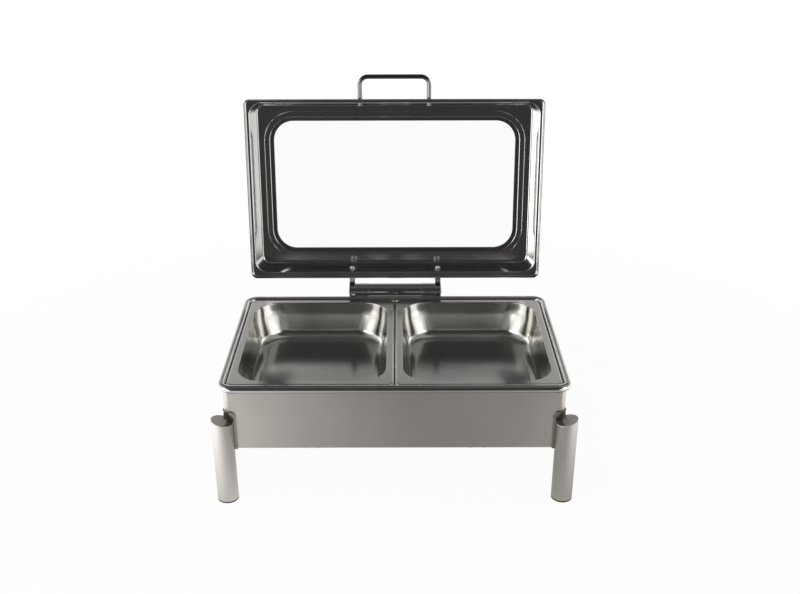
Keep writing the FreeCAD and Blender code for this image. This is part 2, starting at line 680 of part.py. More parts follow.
def sector_x(radius, x0, x1, start, sweep):
    """Cylinder sector along X; its angle is measured from +Y towards +Z."""
    piece = Part.makeCylinder(radius, x1 - x0, Vector(), Vector(0, 0, 1), sweep)
    piece.rotate(Vector(), Vector(0, 0, 1), start)
    piece.rotate(Vector(), Vector(1, 1, 1), 120)
    piece.translate(Vector(x0, AXIS_Y, AXIS_Z))
    return piece


def damper_ends():
    """Left and right end of the damper's inner chamber."""
    left = -barrel_half() + SPIGOT_LENGTH + DAMPER_WALL + 1
    return left, left + DAMPER_LENGTH - 2 * DAMPER_WALL


def make_damper_housing():
    """Cylinder with one closed end and two fixed vanes between which the rotor swings."""
    left, right = damper_ends()
    outer = BARREL_BORE - BRACKET_GAP
    chamber = outer - DAMPER_WALL
    body = disc_x(outer, left - DAMPER_WALL, right, AXIS_Y, AXIS_Z)
    body = body.cut(disc_x(chamber, left, right, AXIS_Y, AXIS_Z))
    vanes = [sector_x(chamber + BRACKET_GAP, left - BRACKET_GAP, right, start - DAMPER_VANE_ANGLE / 2, DAMPER_VANE_ANGLE)
             for start in (90, 270)]
    core = disc_x(ROTOR_HUB + VANE_GAP, left, right, AXIS_Y, AXIS_Z)
    bore = disc_x(SHAFT_RADIUS + VANE_GAP, left - DAMPER_WALL, right, AXIS_Y, AXIS_Z)
    return body.fuse([vane.cut(core) for vane in vanes]).cut(bore).removeSplitter()


def make_damper_cover():
    """Plate that closes the damper's right end."""
    right = damper_ends()[1]
    start = right + BRACKET_GAP
    plate = disc_x(BARREL_BORE - BRACKET_GAP, start, start + DAMPER_WALL, AXIS_Y, AXIS_Z)
    return plate.cut(disc_x(SHAFT_RADIUS + VANE_GAP, start, start + DAMPER_WALL, AXIS_Y, AXIS_Z))


def make_rotor():
    """Hub with two vanes, keyed to the shaft, drawn with the lid open against its stop."""
    left, right = damper_ends()
    x0, x1 = left + ROTOR_END_GAP, right - ROTOR_END_GAP
    tip = BARREL_BORE - BRACKET_GAP - DAMPER_WALL - VANE_GAP
    hub = disc_x(ROTOR_HUB, x0, x1, AXIS_Y, AXIS_Z)
    first = 90 + DAMPER_VANE_ANGLE / 2 + ROTOR_STOP_GAP
    vanes = [sector_x(tip, x0, x1, start, ROTOR_VANE_ANGLE) for start in (first, first + 180)]
    return hub.fuse(vanes).cut(disc_x(SHAFT_RADIUS + SHAFT_GAP, x0, x1, AXIS_Y, AXIS_Z)).removeSplitter()


def make_anchor():
    """Disc fixed in the barrel that takes the spring's still end."""
    start = damper_ends()[1] + DAMPER_WALL + 2 * BRACKET_GAP
    plate = disc_x(BARREL_BORE - BRACKET_GAP, start, start + ANCHOR_THICKNESS, AXIS_Y, AXIS_Z)
    return plate.cut(disc_x(SHAFT_RADIUS + VANE_GAP, start, start + ANCHOR_THICKNESS, AXIS_Y, AXIS_Z))


def spring_start():
    return damper_ends()[1] + DAMPER_WALL + 2 * BRACKET_GAP + ANCHOR_THICKNESS + SEAT_GAP + SPRING_WIRE / 2


def make_spring():
    """Torsion spring round the shaft."""
    run = SPRING_LENGTH - SPRING_WIRE
    pitch = run / SPRING_TURNS
    helix = Part.makeHelix(pitch, run, SPRING_MEAN_RADIUS)
    ring = Part.Wire(Part.makeCircle(SPRING_WIRE / 2, Vector(SPRING_MEAN_RADIUS, 0, 0), Vector(0, 1, 0)))
    coil = Part.Wire(helix).makePipeShell([ring], True, True)
    coil.rotate(Vector(), Vector(0, 1, 0), 90)
    coil.translate(Vector(spring_start(), AXIS_Y, AXIS_Z))
    print("least gap between the spring's turns", round(pitch - SPRING_WIRE, 2))
    return coil


def make_driver():
    """Collar on the shaft that takes the spring's turning end."""
    start = spring_start() - SPRING_WIRE / 2 + SPRING_LENGTH + SEAT_GAP
    end = KNUCKLE_INNER_X - SPIGOT_LENGTH - SEAT_GAP
    collar = disc_x(BARREL_BORE - 1, start, end, AXIS_Y, AXIS_Z)
    return collar.cut(disc_x(SHAFT_RADIUS, start, end, AXIS_Y, AXIS_Z))


def make_bush():
    """Right-hand plain bearing."""
    x0, x1 = KNUCKLE_INNER_X - SPIGOT_LENGTH + 1, KNUCKLE_OUTER_X
    bush = disc_x(BUSH_RADIUS, x0, x1, AXIS_Y, AXIS_Z)
    return bush.cut(disc_x(SHAFT_RADIUS + SHAFT_GAP, x0, x1, AXIS_Y, AXIS_Z))


def arm_x():
    start = KNUCKLE_OUTER_X + ARM_SIDE_GAP
    return start, start + ARM_THICKNESS


def make_shaft():
    end = arm_x()[1]
    return disc_x(SHAFT_RADIUS, -end, end, AXIS_Y, AXIS_Z)


def wall_skin(z):
    """Half outline of the lid's outer wall in Y at a level between step and foot."""
    share = (z - STEP_Z) / WALL_RISE
    return LID_Y - RIM_STEP - share * WALL_TAPER + LID_SHEET


def arm_level():
    """Lower edge of an arm, just above the lid's rim step."""
    return STEP_Z + LID_SHEET + 0.8


def make_arm():
    """Right-hand arm: hub on the shaft, bar over the rim step, stud through the rear wall."""
    x0, x1 = arm_x()
    low = arm_level()
    high = low + ARM_HEIGHT
    gap = 0.1
    hub = disc_x(ARM_HUB_RADIUS, x0, x1, AXIS_Y, AXIS_Z)
    bar = profile_x([(wall_skin(low) + gap, low), (AXIS_Y, low), (AXIS_Y, AXIS_Z + ARM_HUB_RADIUS),
                     (wall_skin(high) + gap, high)], x0, x1)
    root = wall_skin(low) + 4
    stud = Part.makeCylinder(ARM_STUD_RADIUS, root - nut_seat() + NUT_HEIGHT,
                             Vector((x0 + x1) / 2, root, low + ARM_HEIGHT / 2), Vector(0, -1, 0))
    return hub.fuse([bar, stud]).cut(disc_x(SHAFT_RADIUS, x0, x1, AXIS_Y, AXIS_Z)).removeSplitter()


def nut_seat():
    """Where the dome nuts meet the inside of the sloping rear wall."""
    return wall_skin(arm_level() + ARM_HEIGHT / 2 + NUT_FLATS / 2) - LID_SHEET - SEAT_GAP


def make_arm_nut():
    """Right-hand dome nut on the inside of the rear wall."""
    x0, x1 = arm_x()
    x = (x0 + x1) / 2
    z = arm_level() + ARM_HEIGHT / 2
    seat = nut_seat()
    corner = NUT_FLATS / math.sqrt(3)
    points = [Vector(x + corner * math.cos(math.radians(a)), seat, z + corner * math.sin(math.radians(a)))
              for a in range(0, 361, 60)]
    nut = Part.Face(Part.makePolygon(points)).extrude(Vector(0, -NUT_HEIGHT, 0))
    dome = Part.makeSphere(NUT_FLATS / 2 - 0.2, Vector(x, seat - NUT_HEIGHT, z))
    stud = Part.makeCylinder(ARM_STUD_RADIUS + 0.05, 2 * NUT_HEIGHT, Vector(x, seat + NUT_HEIGHT, z), Vector(0, -1, 0))
    return nut.fuse(dome).cut(stud).removeSplitter()


def make_end_cap():
    """Right-hand domed cap over the shaft's end."""
    start = arm_x()[1] + 0.1
    rise = END_CAP_RISE
    sphere_radius = (END_CAP_RADIUS ** 2 + rise ** 2) / (2 * rise)
    ball = Part.makeSphere(sphere_radius, Vector(start + rise - sphere_radius, AXIS_Y, AXIS_Z))
    return ball.common(disc_x(END_CAP_RADIUS, start, start + rise + 1, AXIS_Y, AXIS_Z))


def lid_profile():
    """Inner insets, levels and corner radii from the rim step over the bend to the top."""
    foot_inset = RIM_STEP + WALL_TAPER
    top_inset = foot_inset + SHOULDER_RUN
    share = SHOULDER_BEND / WALL_RISE
    insets = (RIM_STEP, foot_inset - share * WALL_TAPER,
              foot_inset + SHOULDER_BEND * SHOULDER_RUN / SHOULDER_RISE, top_inset)
    levels = (STEP_Z, FOOT_Z - SHOULDER_BEND, FOOT_Z + SHOULDER_BEND, PANEL_Z)
    return insets, levels, (RIM_STEP_CORNER, WALL_CORNER, WALL_CORNER + 10, window_corner(top_inset))


def make_lid_shell():
    """Pressed lid: turned-down rim, step, tapered wall, shoulder, flat top with the opening."""
    sheet = LID_SHEET
    rim = prism(LID_X, LID_Y, LID_CORNER, LID_Z, STEP_Z + sheet)
    rim = rounded_edges(rim, LIP_ROUND, level_edges(STEP_Z + sheet))
    rim_hollow = prism(LID_X - sheet, LID_Y - sheet, LID_CORNER - sheet, LID_Z, STEP_Z)
    rim_hollow = rounded_edges(rim_hollow, LIP_ROUND - sheet, level_edges(STEP_Z))
    insets, levels, corners = lid_profile()
    hollow = tapered([(LID_X - inset, LID_Y - inset, corner, z)
                      for inset, z, corner in zip(insets, levels, corners)])
    skin = tapered([(LID_X - inset + sheet, LID_Y - inset + sheet, corner + sheet, z + grow)
                    for inset, z, corner, grow in zip(insets, levels, corners, (0, sheet / 4, sheet / 2, sheet))])
    hollow = rounded_edges(hollow, SHOULDER_ROUND, level_edges(PANEL_Z))
    skin = rounded_edges(skin, SHOULDER_ROUND + sheet, level_edges(PANEL_Z + sheet))
    opening = window_prism(OPENING_INSET, PANEL_Z - 1, PANEL_Z + 2 * sheet)
    shell = rim.cut(rim_hollow).fuse(skin).cut([hollow, opening])
    return shell.cut(wall_holes()).removeSplitter()


def window_corner(inset):
    """Corner radius of the outline at an inset, concentric with the window's own corner."""
    return WINDOW_CORNER + WINDOW_INSET - inset


def window_prism(inset, low, high):
    return prism(LID_X - inset, LID_Y - inset, window_corner(inset), low, high)


def wall_holes():
    """Holes for the handle screws in the front wall and the arm studs in the rear wall."""
    holes = []
    for side in (-1, 1):
        handle = Vector(side * HANDLE_SPACING / 2, -LID_Y, handle_z())
        stud = Vector(side * sum(arm_x()) / 2, LID_Y, arm_level() + ARM_HEIGHT / 2)
        holes.append(Part.makeCylinder(HANDLE_SCREW_RADIUS + 0.2, 4 * RIM_STEP, handle, Vector(0, 1, 0)))
        holes.append(Part.makeCylinder(ARM_STUD_RADIUS + 0.2, 4 * RIM_STEP, stud, Vector(0, -1, 0)))
    return holes


def handle_z():
    return LID_Z + HANDLE_LEVEL


def glass_z():
    return PANEL_Z + LID_SHEET + GASKET_SEAT


def make_glass():
    return window_prism(GLASS_INSET, glass_z(), glass_z() + GLASS_THICKNESS)


def make_gasket():
    """Black ring: a tongue down through the opening, a seat on the panel, a wall round the pane."""
    gap = GASKET_GAP
    panel = PANEL_Z + LID_SHEET
    rim_top = glass_z() + GLASS_THICKNESS + 0.4
    outer = window_prism(GLASS_INSET - gap - GASKET_WALL, panel + gap / 2, rim_top)
    tongue = window_prism(OPENING_INSET + gap, PANEL_Z + gap, panel + gap)
    pane = window_prism(GLASS_INSET - gap, glass_z() - gap / 2, rim_top)
    clear = window_prism(WINDOW_INSET, PANEL_Z, rim_top)
    return outer.fuse(tongue).cut([pane, clear]).removeSplitter()


def make_window_frame():
    """Shallow channel ring inside the lid, open towards the panel, with rounded edges."""
    top = PANEL_Z - 0.1
    low = top - FRAME_HEIGHT
    ring = window_prism(FRAME_OUTER_INSET, low, top).cut(window_prism(FRAME_INNER_INSET, low, top))
    ring = rounded_edges(ring, FRAME_ROUND, level_edges(low))
    groove = window_prism(FRAME_OUTER_INSET + FRAME_WALL, low + FRAME_WALL, top)
    return ring.cut(groove.cut(window_prism(FRAME_INNER_INSET - FRAME_WALL, low, top)))


def make_handle():
    """Bow of round bar with two bends."""
    x = HANDLE_SPACING / 2
    base_y = -wall_skin(handle_z()) - 1
    out_y = -LID_Y - HANDLE_REACH
    bend = HANDLE_BEND
    diagonal = bend * (1 - math.cos(math.radians(45)))
    z = handle_z()
    corner = Vector(x - diagonal, out_y + diagonal, z)
    edges = [
        Part.LineSegment(Vector(x, base_y, z), Vector(x, out_y + bend, z)).toShape(),
        Part.Arc(Vector(x, out_y + bend, z), corner, Vector(x - bend, out_y, z)).toShape(),
        Part.LineSegment(Vector(x - bend, out_y, z), Vector(-x + bend, out_y, z)).toShape(),
        Part.Arc(Vector(-x + bend, out_y, z), Vector(-corner.x, corner.y, z),
                 Vector(-x, out_y + bend, z)).toShape(),
        Part.LineSegment(Vector(-x, out_y + bend, z), Vector(-x, base_y, z)).toShape(),
    ]
    ring = Part.Wire(Part.makeCircle(HANDLE_RADIUS, Vector(x, base_y, z), Vector(0, 1, 0)))
    bow = Part.Wire(edges).makePipeShell([ring], True, False)
    return bow.cut([handle_bore(side) for side in (-1, 1)])


def handle_bore(side):
    """Threaded hole in the handle's end."""
    base_y = -wall_skin(handle_z())
    start = Vector(side * HANDLE_SPACING / 2, base_y, handle_z())
    return Part.makeCylinder(HANDLE_SCREW_RADIUS + 0.05, HANDLE_SCREW_DEPTH, start, Vector(0, -1, 0))


def make_ferrule(side):
    """Cone foot between the handle's end and the lid's front wall, cut to the wall's slope."""
    x = side * HANDLE_SPACING / 2
    z = handle_z()
    wall_y = -wall_skin(z)
    low = z - 2 * FERRULE_RADIUS
    high = z + 2 * FERRULE_RADIUS
    cone = Part.makeCone(HANDLE_RADIUS + 0.7, FERRULE_RADIUS, FERRULE_LENGTH + 3,
                         Vector(x, wall_y - FERRULE_LENGTH, z), Vector(0, 1, 0))
    wall = profile_x([(-wall_skin(low) - 0.05, low), (0, low), (0, high), (-wall_skin(high) - 0.05, high)],
                     x - LID_CORNER, x + LID_CORNER)
    bar = Part.makeCylinder(HANDLE_RADIUS + 0.05, 4 * FERRULE_LENGTH, Vector(x, wall_y + 3, z), Vector(0, -1, 0))
    return cone.cut([wall, bar])


def make_handle_screw(side):
    """Pan-head screw from inside the lid into the handle's end."""
    x = side * HANDLE_SPACING / 2
    z = handle_z()
    seat = -wall_skin(z + HANDLE_SCREW_HEAD_RADIUS) + LID_SHEET + 0.1
    shank = Part.makeCylinder(HANDLE_SCREW_RADIUS, HANDLE_SCREW_DEPTH, Vector(x, seat, z), Vector(0, -1, 0))
    head = Part.makeCylinder(HANDLE_SCREW_HEAD_RADIUS, HANDLE_SCREW_HEAD, Vector(x, seat, z), Vector(0, 1, 0))
    head = rounded_edges(head, HANDLE_SCREW_HEAD / 2, lambda b: abs(b.YMin - (seat + HANDLE_SCREW_HEAD)) < 0.01)
    return shank.fuse(head).removeSplitter()


def both_sides(shape):
    return group([shape, mirror_x(shape)])


def stand_nodes():
    nodes = {"stand_skirt": make_skirt()}
    for label, shape in (("leg", make_leg()), ("leg_cap", make_leg_cap()), ("leg_foot", make_foot()),
                         ("leg_bracket", make_bracket())):
        for corner, copy in four_corners(shape).items():
            nodes[label + "_" + corner] = copy
    nodes["leg_inserts"] = group(four_corners(make_insert()).values())
    nodes["leg_screws"] = group([copy for screw in make_leg_screws() for copy in four_corners(screw).values()])
    return nodes


def burner_nodes():
    nodes = {}
    rail_rivets, cup_rivets, pins = [], [], []
    for label, side in (("left", -1), ("right", 1)):
        nodes["burner_rail_" + label] = make_rail(side)
        nodes["burner_cup_" + label] = make_cup(side)
        nodes["snuffer_" + label] = make_snuffer(side)
        pins.append(make_pin(side))
        flange = SKIRT_BOTTOM_Z + SKIRT_SHEET
        rail_rivets += [make_rivet(x, y, flange + RAIL_SHEET - 3.2, flange + RAIL_SHEET)
                        for x, y in rail_rivet_places(side)]
        cup_rivets.append(make_rivet(side * PAN_PITCH / 2, 0, RAIL_FLAT_Z, RAIL_FLAT_Z + RAIL_SHEET + CUP_SHEET))
    nodes["rail_rivets"] = group(rail_rivets)
    nodes["cup_rivets"] = group(cup_rivets)
    nodes["snuffer_pins"] = group(pins)
    flange_holes = [disc_z(RIVET_RADIUS + PIN_GAP, SKIRT_BOTTOM_Z - 1, SKIRT_BOTTOM_Z + SKIRT_SHEET + 1, x, y)
                    for side in (-1, 1) for x, y in rail_rivet_places(side)]
    return nodes, flange_holes


def water_nodes():
    bracket = make_hinge_bracket()
    return {
        "water_pan": make_water_pan(),
        "hinge_bracket_right": bracket,
        "hinge_bracket_left": mirror_x(bracket),
        "hinge_clamps": both_sides(make_clamp()),
        "clamp_screws": group([copy for screw in make_clamp_screws() for copy in (screw, mirror_x(screw))]),
        "hinge_barrel": make_barrel(),
        "barrel_rings": both_sides(make_ring()),
        "damper_housing": make_damper_housing(),
        "damper_cover": make_damper_cover(),
        "torsion_spring": make_spring(),
        "spring_anchor": make_anchor(),
        "hinge_bushes": both_sides(make_bush()),
        "food_pan_left": make_food_pan(-1),
        "food_pan_right": make_food_pan(1),
    }


def lid_nodes():
    """The lid's pieces, turned from closed to open; the rotor is drawn open already."""
    arm = make_arm()
    nodes = {
        "lid_shell": make_lid_shell(),
        "window_glass": make_glass(),
        "window_gasket": make_gasket(),
        "window_frame": make_window_frame(),
        "lid_handle": make_handle(),
        "handle_ferrules": group([make_ferrule(side) for side in (-1, 1)]),
        "handle_screws": group([make_handle_screw(side) for side in (-1, 1)]),
        "hinge_arm_right": arm,
        "hinge_arm_left": mirror_x(arm),
        "arm_nuts": both_sides(make_arm_nut()),
        "hinge_shaft": make_shaft(),
        "spring_driver": make_driver(),
        "hinge_end_caps": both_sides(make_end_cap()),
    }
    for shape in nodes.values():
        shape.rotate(Vector(0, AXIS_Y, AXIS_Z), Vector(1, 0, 0), -OPEN_ANGLE)
    nodes["damper_rotor"] = make_rotor()
    return nodes


def main():
    os.makedirs("parts", exist_ok=True)
    nodes = stand_nodes()
    burners, flange_holes = burner_nodes()
    nodes["stand_skirt"] = nodes["stand_skirt"].cut(flange_holes)
    nodes.update(burners)
    nodes.update(water_nodes())
    nodes.update(lid_nodes())
    for name, shape in nodes.items():
        shape.exportStep("parts/" + name + ".step")
        print(name, len(shape.Solids), round(shape.Volume / 1000, 2), "cm3", shape.isValid())
    print(len(nodes), "nodes")


main()
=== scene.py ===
import bpy
import bmesh
import math
from mathutils import Matrix, Vector


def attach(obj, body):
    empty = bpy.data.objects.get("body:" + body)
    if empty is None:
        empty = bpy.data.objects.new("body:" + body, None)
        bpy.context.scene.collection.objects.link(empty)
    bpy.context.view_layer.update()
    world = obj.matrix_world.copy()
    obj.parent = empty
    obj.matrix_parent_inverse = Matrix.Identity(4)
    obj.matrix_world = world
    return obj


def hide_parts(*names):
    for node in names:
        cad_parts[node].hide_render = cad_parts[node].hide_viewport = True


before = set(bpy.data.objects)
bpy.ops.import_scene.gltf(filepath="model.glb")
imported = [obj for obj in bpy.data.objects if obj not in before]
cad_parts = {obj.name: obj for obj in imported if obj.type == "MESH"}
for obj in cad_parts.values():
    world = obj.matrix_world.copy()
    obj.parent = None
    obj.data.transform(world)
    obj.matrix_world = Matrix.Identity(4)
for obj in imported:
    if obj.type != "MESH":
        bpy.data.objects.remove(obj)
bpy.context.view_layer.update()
mm = 0.001  # a millimetre in metres
for leftover in ("Cube", "Light", "Camera"):
    if leftover in bpy.data.objects:
        bpy.data.objects.remove(bpy.data.objects[leftover])
cornerSteps = 14
sameHeight, heightStep = 0.02, 0.03  # millimetres between outlines of one plane
mergeDistance, flatAngle = 0.000002, 0.6  # metres and degrees, for copies of nodes
openTurn = -97.6  # degrees from closed to the photographed pose
hingeLine = Vector((0, 0.1875, 0.2107))


# small helpers

def deselectAll():
    if bpy.context.object and bpy.context.object.mode != "OBJECT":
        bpy.ops.object.mode_set(mode="OBJECT")
    bpy.ops.object.select_all(action="DESELECT")


def editOn(piece):
    deselectAll()
    bpy.context.view_layer.objects.active = piece
    piece.select_set(True)
    bpy.ops.object.mode_set(mode="EDIT")
    bpy.ops.mesh.select_mode(type="VERT")


def editOff():
    bpy.ops.object.mode_set(mode="OBJECT")


def pickVerts(piece, test):
    shape = bmesh.from_edit_mesh(piece.data)
    for vert in shape.verts:
        vert.select = test(vert)
    shape.select_flush(True)
    shape.select_flush(False)
    bmesh.update_edit_mesh(piece.data)


def addOutline(halfX, halfY, corner, height, middle):
    # a rounded rectangle of edges, in edit mode, in millimetres
    place = (middle * mm, 0, height * mm)
    bpy.ops.mesh.select_all(action="DESELECT")
    bpy.ops.mesh.primitive_plane_add(size=1, location=place)
    bpy.ops.transform.resize(value=(2 * halfX * mm, 2 * halfY * mm, 1), center_override=place)
    bpy.ops.mesh.bevel(offset=corner * mm, affect="VERTICES", segments=cornerSteps)
    bpy.ops.mesh.delete(type="ONLY_FACE")


def bridgeRings(piece, first, second):
    # joins two outlines, each given by its place in the order of adding
    count = 4 * (cornerSteps + 1)
    pickVerts(piece, lambda vert: vert.index // count in (first, second))
    bpy.ops.mesh.bridge_edge_loops()


def fillRing(piece, ring):
    count = 4 * (cornerSteps + 1)
    pickVerts(piece, lambda vert: ring * count <= vert.index < (ring + 1) * count)
    bpy.ops.mesh.edge_face_add()


def loftPiece(name, rings, middle=0.0, fillStart=False, fillEnd=False, loop=False, gap=0):
    # a pressed shape through rounded outlines: (halfX, halfY, corner, height)
    deselectAll()
    bpy.ops.mesh.primitive_plane_add(size=1)
    piece = bpy.context.object
    piece.name = name
    editOn(piece)
    bpy.ops.mesh.select_all(action="SELECT")
    bpy.ops.mesh.delete(type="VERT")
    last = rings[-1][3] if loop else -1000.0
    for number, (halfX, halfY, corner, height) in enumerate(rings):
        # outlines in one plane are bridged crosswise, so neighbours differ by a hair
        if abs(height - last) < sameHeight:
            height += heightStep
        last = height
        addOutline(halfX, halfY, corner, height, middle)
        if number and number != gap:
            bridgeRings(piece, number - 1, number)
    if loop:
        bridgeRings(piece, len(rings) - 1, 0)
    if fillStart:
        fillRing(piece, 0)
    if fillEnd:
        fillRing(piece, len(rings) - 1)
    editOff()
    return piece


def evenNormals(piece):
    editOn(piece)
    bpy.ops.mesh.select_all(action="SELECT")
    bpy.ops.mesh.normals_make_consistent(inside=False)
    editOff()


def applyModifier(piece, kind, **values):
    deselectAll()
    bpy.context.view_layer.objects.active = piece
    piece.select_set(True)
    modifier = piece.modifiers.new(kind.lower(), kind)
    for key, value in values.items():
        setattr(modifier, key, value)
    bpy.ops.object.modifier_apply(modifier=modifier.name)


def roundEdges(piece, width, segments=2, angle=30):
    applyModifier(piece, "BEVEL", width=width * mm, segments=segments, limit_method="ANGLE",
                  angle_limit=math.radians(angle), harden_normals=False)


def finishShading(piece, angle):
    deselectAll()
    bpy.context.view_layer.objects.active = piece
    piece.select_set(True)
    bpy.ops.object.shade_smooth_by_angle(angle=math.radians(angle))
    applyModifier(piece, "WEIGHTED_NORMAL", weight=100, keep_sharp=True)


def placed(piece, matrix):
    # bakes a turn or a shift into the mesh
    deselectAll()
    bpy.context.view_layer.objects.active = piece
    piece.select_set(True)
    piece.matrix_world = matrix @ piece.matrix_world
    bpy.ops.object.transform_apply(location=True, rotation=True, scale=True)


def opened(piece):
    turn = Matrix.Translation(hingeLine) @ Matrix.Rotation(math.radians(openTurn), 4, "X")
    placed(piece, turn @ Matrix.Translation(-hingeLine))


def arcPoints(centre, radius, start, end, steps):
    points = []
    for step in range(steps + 1):
        angle = math.radians(start + (end - start) * step / steps)
        points.append((centre[0] + radius * math.cos(angle), centre[1] + radius * math.sin(angle)))
    return points


def backPoints(points, sheet):
    # the same line one sheet further back, with mitred bends
    result = []
    for number, point in enumerate(points):
        before = points[max(number - 1, 0)]
        after = points[min(number + 1, len(points) - 1)]
        sides = []
        for first, second in ((before, point), (point, after)):
            run = Vector((second[0] - first[0], second[1] - first[1]))
            if run.length > 1e-6:
                run.normalize()
                sides.append(Vector((run.y, -run.x)))
        middle = sum(sides, Vector((0, 0))).normalized()
        reach = sheet / max(middle.dot(sides[0]), 0.5)
        result.append((point[0] + middle.x * reach, point[1] + middle.y * reach, point[2]))
    return result


def sheetPiece(name, halfX, halfY, points, sheet, middle=0.0, floor=False):
    # pressed sheet: points are (inset, height, corner radius at no inset), front side first
    back = backPoints(points, sheet)
    section = points + back[::-1]
    rings = [(halfX - inset, halfY - inset, corner - inset, height) for inset, height, corner in section]
    piece = loftPiece(name, rings, middle, loop=True, gap=len(points) if floor else 0)
    if floor:
        editOn(piece)
        for ring in (len(points) - 1, len(points)):
            fillRing(piece, ring)
        editOff()
    evenNormals(piece)
    return piece


def family(corner, points):
    return [(inset, height, corner) for inset, height in points]


def register(piece, body, slotName, *nodes):
    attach(piece, body)
    if nodes:
        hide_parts(*nodes)


def setMaterial(piece, material):
    piece.data.materials.clear()
    piece.data.materials.append(material)


def smoothCopy(node, body, slotName, material, angle=30):
    # a merged copy of a node, shaded smooth between its hard edges
    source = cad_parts[node]
    copy = source.copy()
    copy.data = source.data.copy()
    copy.name = node + "_finished"
    bpy.context.scene.collection.objects.link(copy)
    copy.parent = None
    copy.matrix_world = source.matrix_world.copy()
    editOn(copy)
    bpy.ops.mesh.select_all(action="SELECT")
    bpy.ops.mesh.remove_doubles(threshold=mergeDistance)
    bpy.ops.mesh.dissolve_limited(angle_limit=math.radians(flatAngle))
    editOff()
    finishShading(copy, angle)
    setMaterial(copy, material)
    register(copy, body, slotName, node)


# shared surface effects

def newGroup(name, inputs, outputs):
    group = bpy.data.node_groups.new(name, "ShaderNodeTree")
    for label, kind, value in inputs:
        socket = group.interface.new_socket(name=label, in_out="INPUT", socket_type=kind)
        if value is not None:
            socket.default_value = value
    for label, kind in outputs:
        group.interface.new_socket(name=label, in_out="OUTPUT", socket_type=kind)
    return group, group.nodes.new("NodeGroupInput"), group.nodes.new("NodeGroupOutput")


def mathNode(tree, operation, first, second=None, third=None):
    node = tree.nodes.new("ShaderNodeMath")
    node.operation = operation
    for index, value in enumerate((first, second, third)):
        if value is None:
            continue
        if isinstance(value, (int, float)):
            node.inputs[index].default_value = value
        else:
            tree.links.new(value, node.inputs[index])
    return node.outputs[0]


def rampNode(tree, value, start, end, low=0.0, high=1.0):
    # smooth change from low to high while value goes from start to end
    node = tree.nodes.new("ShaderNodeMapRange")
    node.interpolation_type = "SMOOTHSTEP"
    node.inputs["From Min"].default_value = start
    node.inputs["From Max"].default_value = end
    node.inputs["To Min"].default_value = low
    node.inputs["To Max"].default_value = high
    tree.links.new(value, node.inputs["Value"])
    return node.outputs[0]


def noiseNode(tree, vector, scale, detail=2.0, roughness=0.5):
    node = tree.nodes.new("ShaderNodeTexNoise")
    node.inputs["Scale"].default_value = scale
    node.inputs["Detail"].default_value = detail
    node.inputs["Roughness"].default_value = roughness
    tree.links.new(vector, node.inputs["Vector"])
    return node.outputs["Fac"]


def shareNode(tree, first, second, share=0.7):
    # a weighted sum of two values
    return mathNode(tree, "ADD", mathNode(tree, "MULTIPLY", first, share),
                    mathNode(tree, "MULTIPLY", second, 1.0 - share))


def makeBrushing():
    # fine parallel grinding lines, stretched by a vector input
    group, start, end = newGroup("brushing", [("Vector", "NodeSocketVector", None),
                                              ("Stretch", "NodeSocketVector", None)],
                                 [("Lines", "NodeSocketFloat")])
    scaled = group.nodes.new("ShaderNodeVectorMath")
    scaled.operation = "MULTIPLY"
    group.links.new(start.outputs["Vector"], scaled.inputs[0])
    group.links.new(start.outputs["Stretch"], scaled.inputs[1])
    fine = noiseNode(group, scaled.outputs[0], 1.0, 4.0, 0.65)
    coarse = noiseNode(group, scaled.outputs[0], 0.22, 2.0, 0.5)
    mixed = shareNode(group, fine, coarse)
    group.links.new(mathNode(group, "SUBTRACT", mixed, 0.5), end.inputs["Lines"])
    return group


def makeHandling():
    # wiped smudges and a few fine scratches, as a mask and as extra roughness
    group, start, end = newGroup("handling", [("Vector", "NodeSocketVector", None),
                                              ("Amount", "NodeSocketFloat", 0.1)],
                                 [("Mask", "NodeSocketFloat"), ("Roughness", "NodeSocketFloat")])
    broad = noiseNode(group, start.outputs["Vector"], 9.0, 3.0, 0.55)
    small = noiseNode(group, start.outputs["Vector"], 55.0, 3.0, 0.6)
    mask = mathNode(group, "MULTIPLY", mathNode(group, "SUBTRACT", broad, 0.42), 2.2)
    both = shareNode(group, mask, small)
    clipped = group.nodes.new("ShaderNodeClamp")
    group.links.new(both, clipped.inputs[0])
    group.links.new(clipped.outputs[0], end.inputs["Mask"])
    rougher = mathNode(group, "MULTIPLY", clipped.outputs[0], start.outputs["Amount"])
    group.links.new(rougher, end.inputs["Roughness"])
    return group


def makePressing():
    # slow unevenness that pressed sheet keeps, for reflections that wander a little
    group, start, end = newGroup("pressing", [("Vector", "NodeSocketVector", None),
                                              ("Size", "NodeSocketFloat", 12.0)],
                                 [("Height", "NodeSocketFloat")])
    wave = group.nodes.new("ShaderNodeTexNoise")
    wave.inputs["Detail"].default_value = 1.0
    group.links.new(start.outputs["Vector"], wave.inputs["Vector"])
    group.links.new(start.outputs["Size"], wave.inputs["Scale"])
    group.links.new(wave.outputs["Fac"], end.inputs["Height"])
    return group


brushing = makeBrushing()
handling = makeHandling()
pressing = makePressing()
print("effects ready")


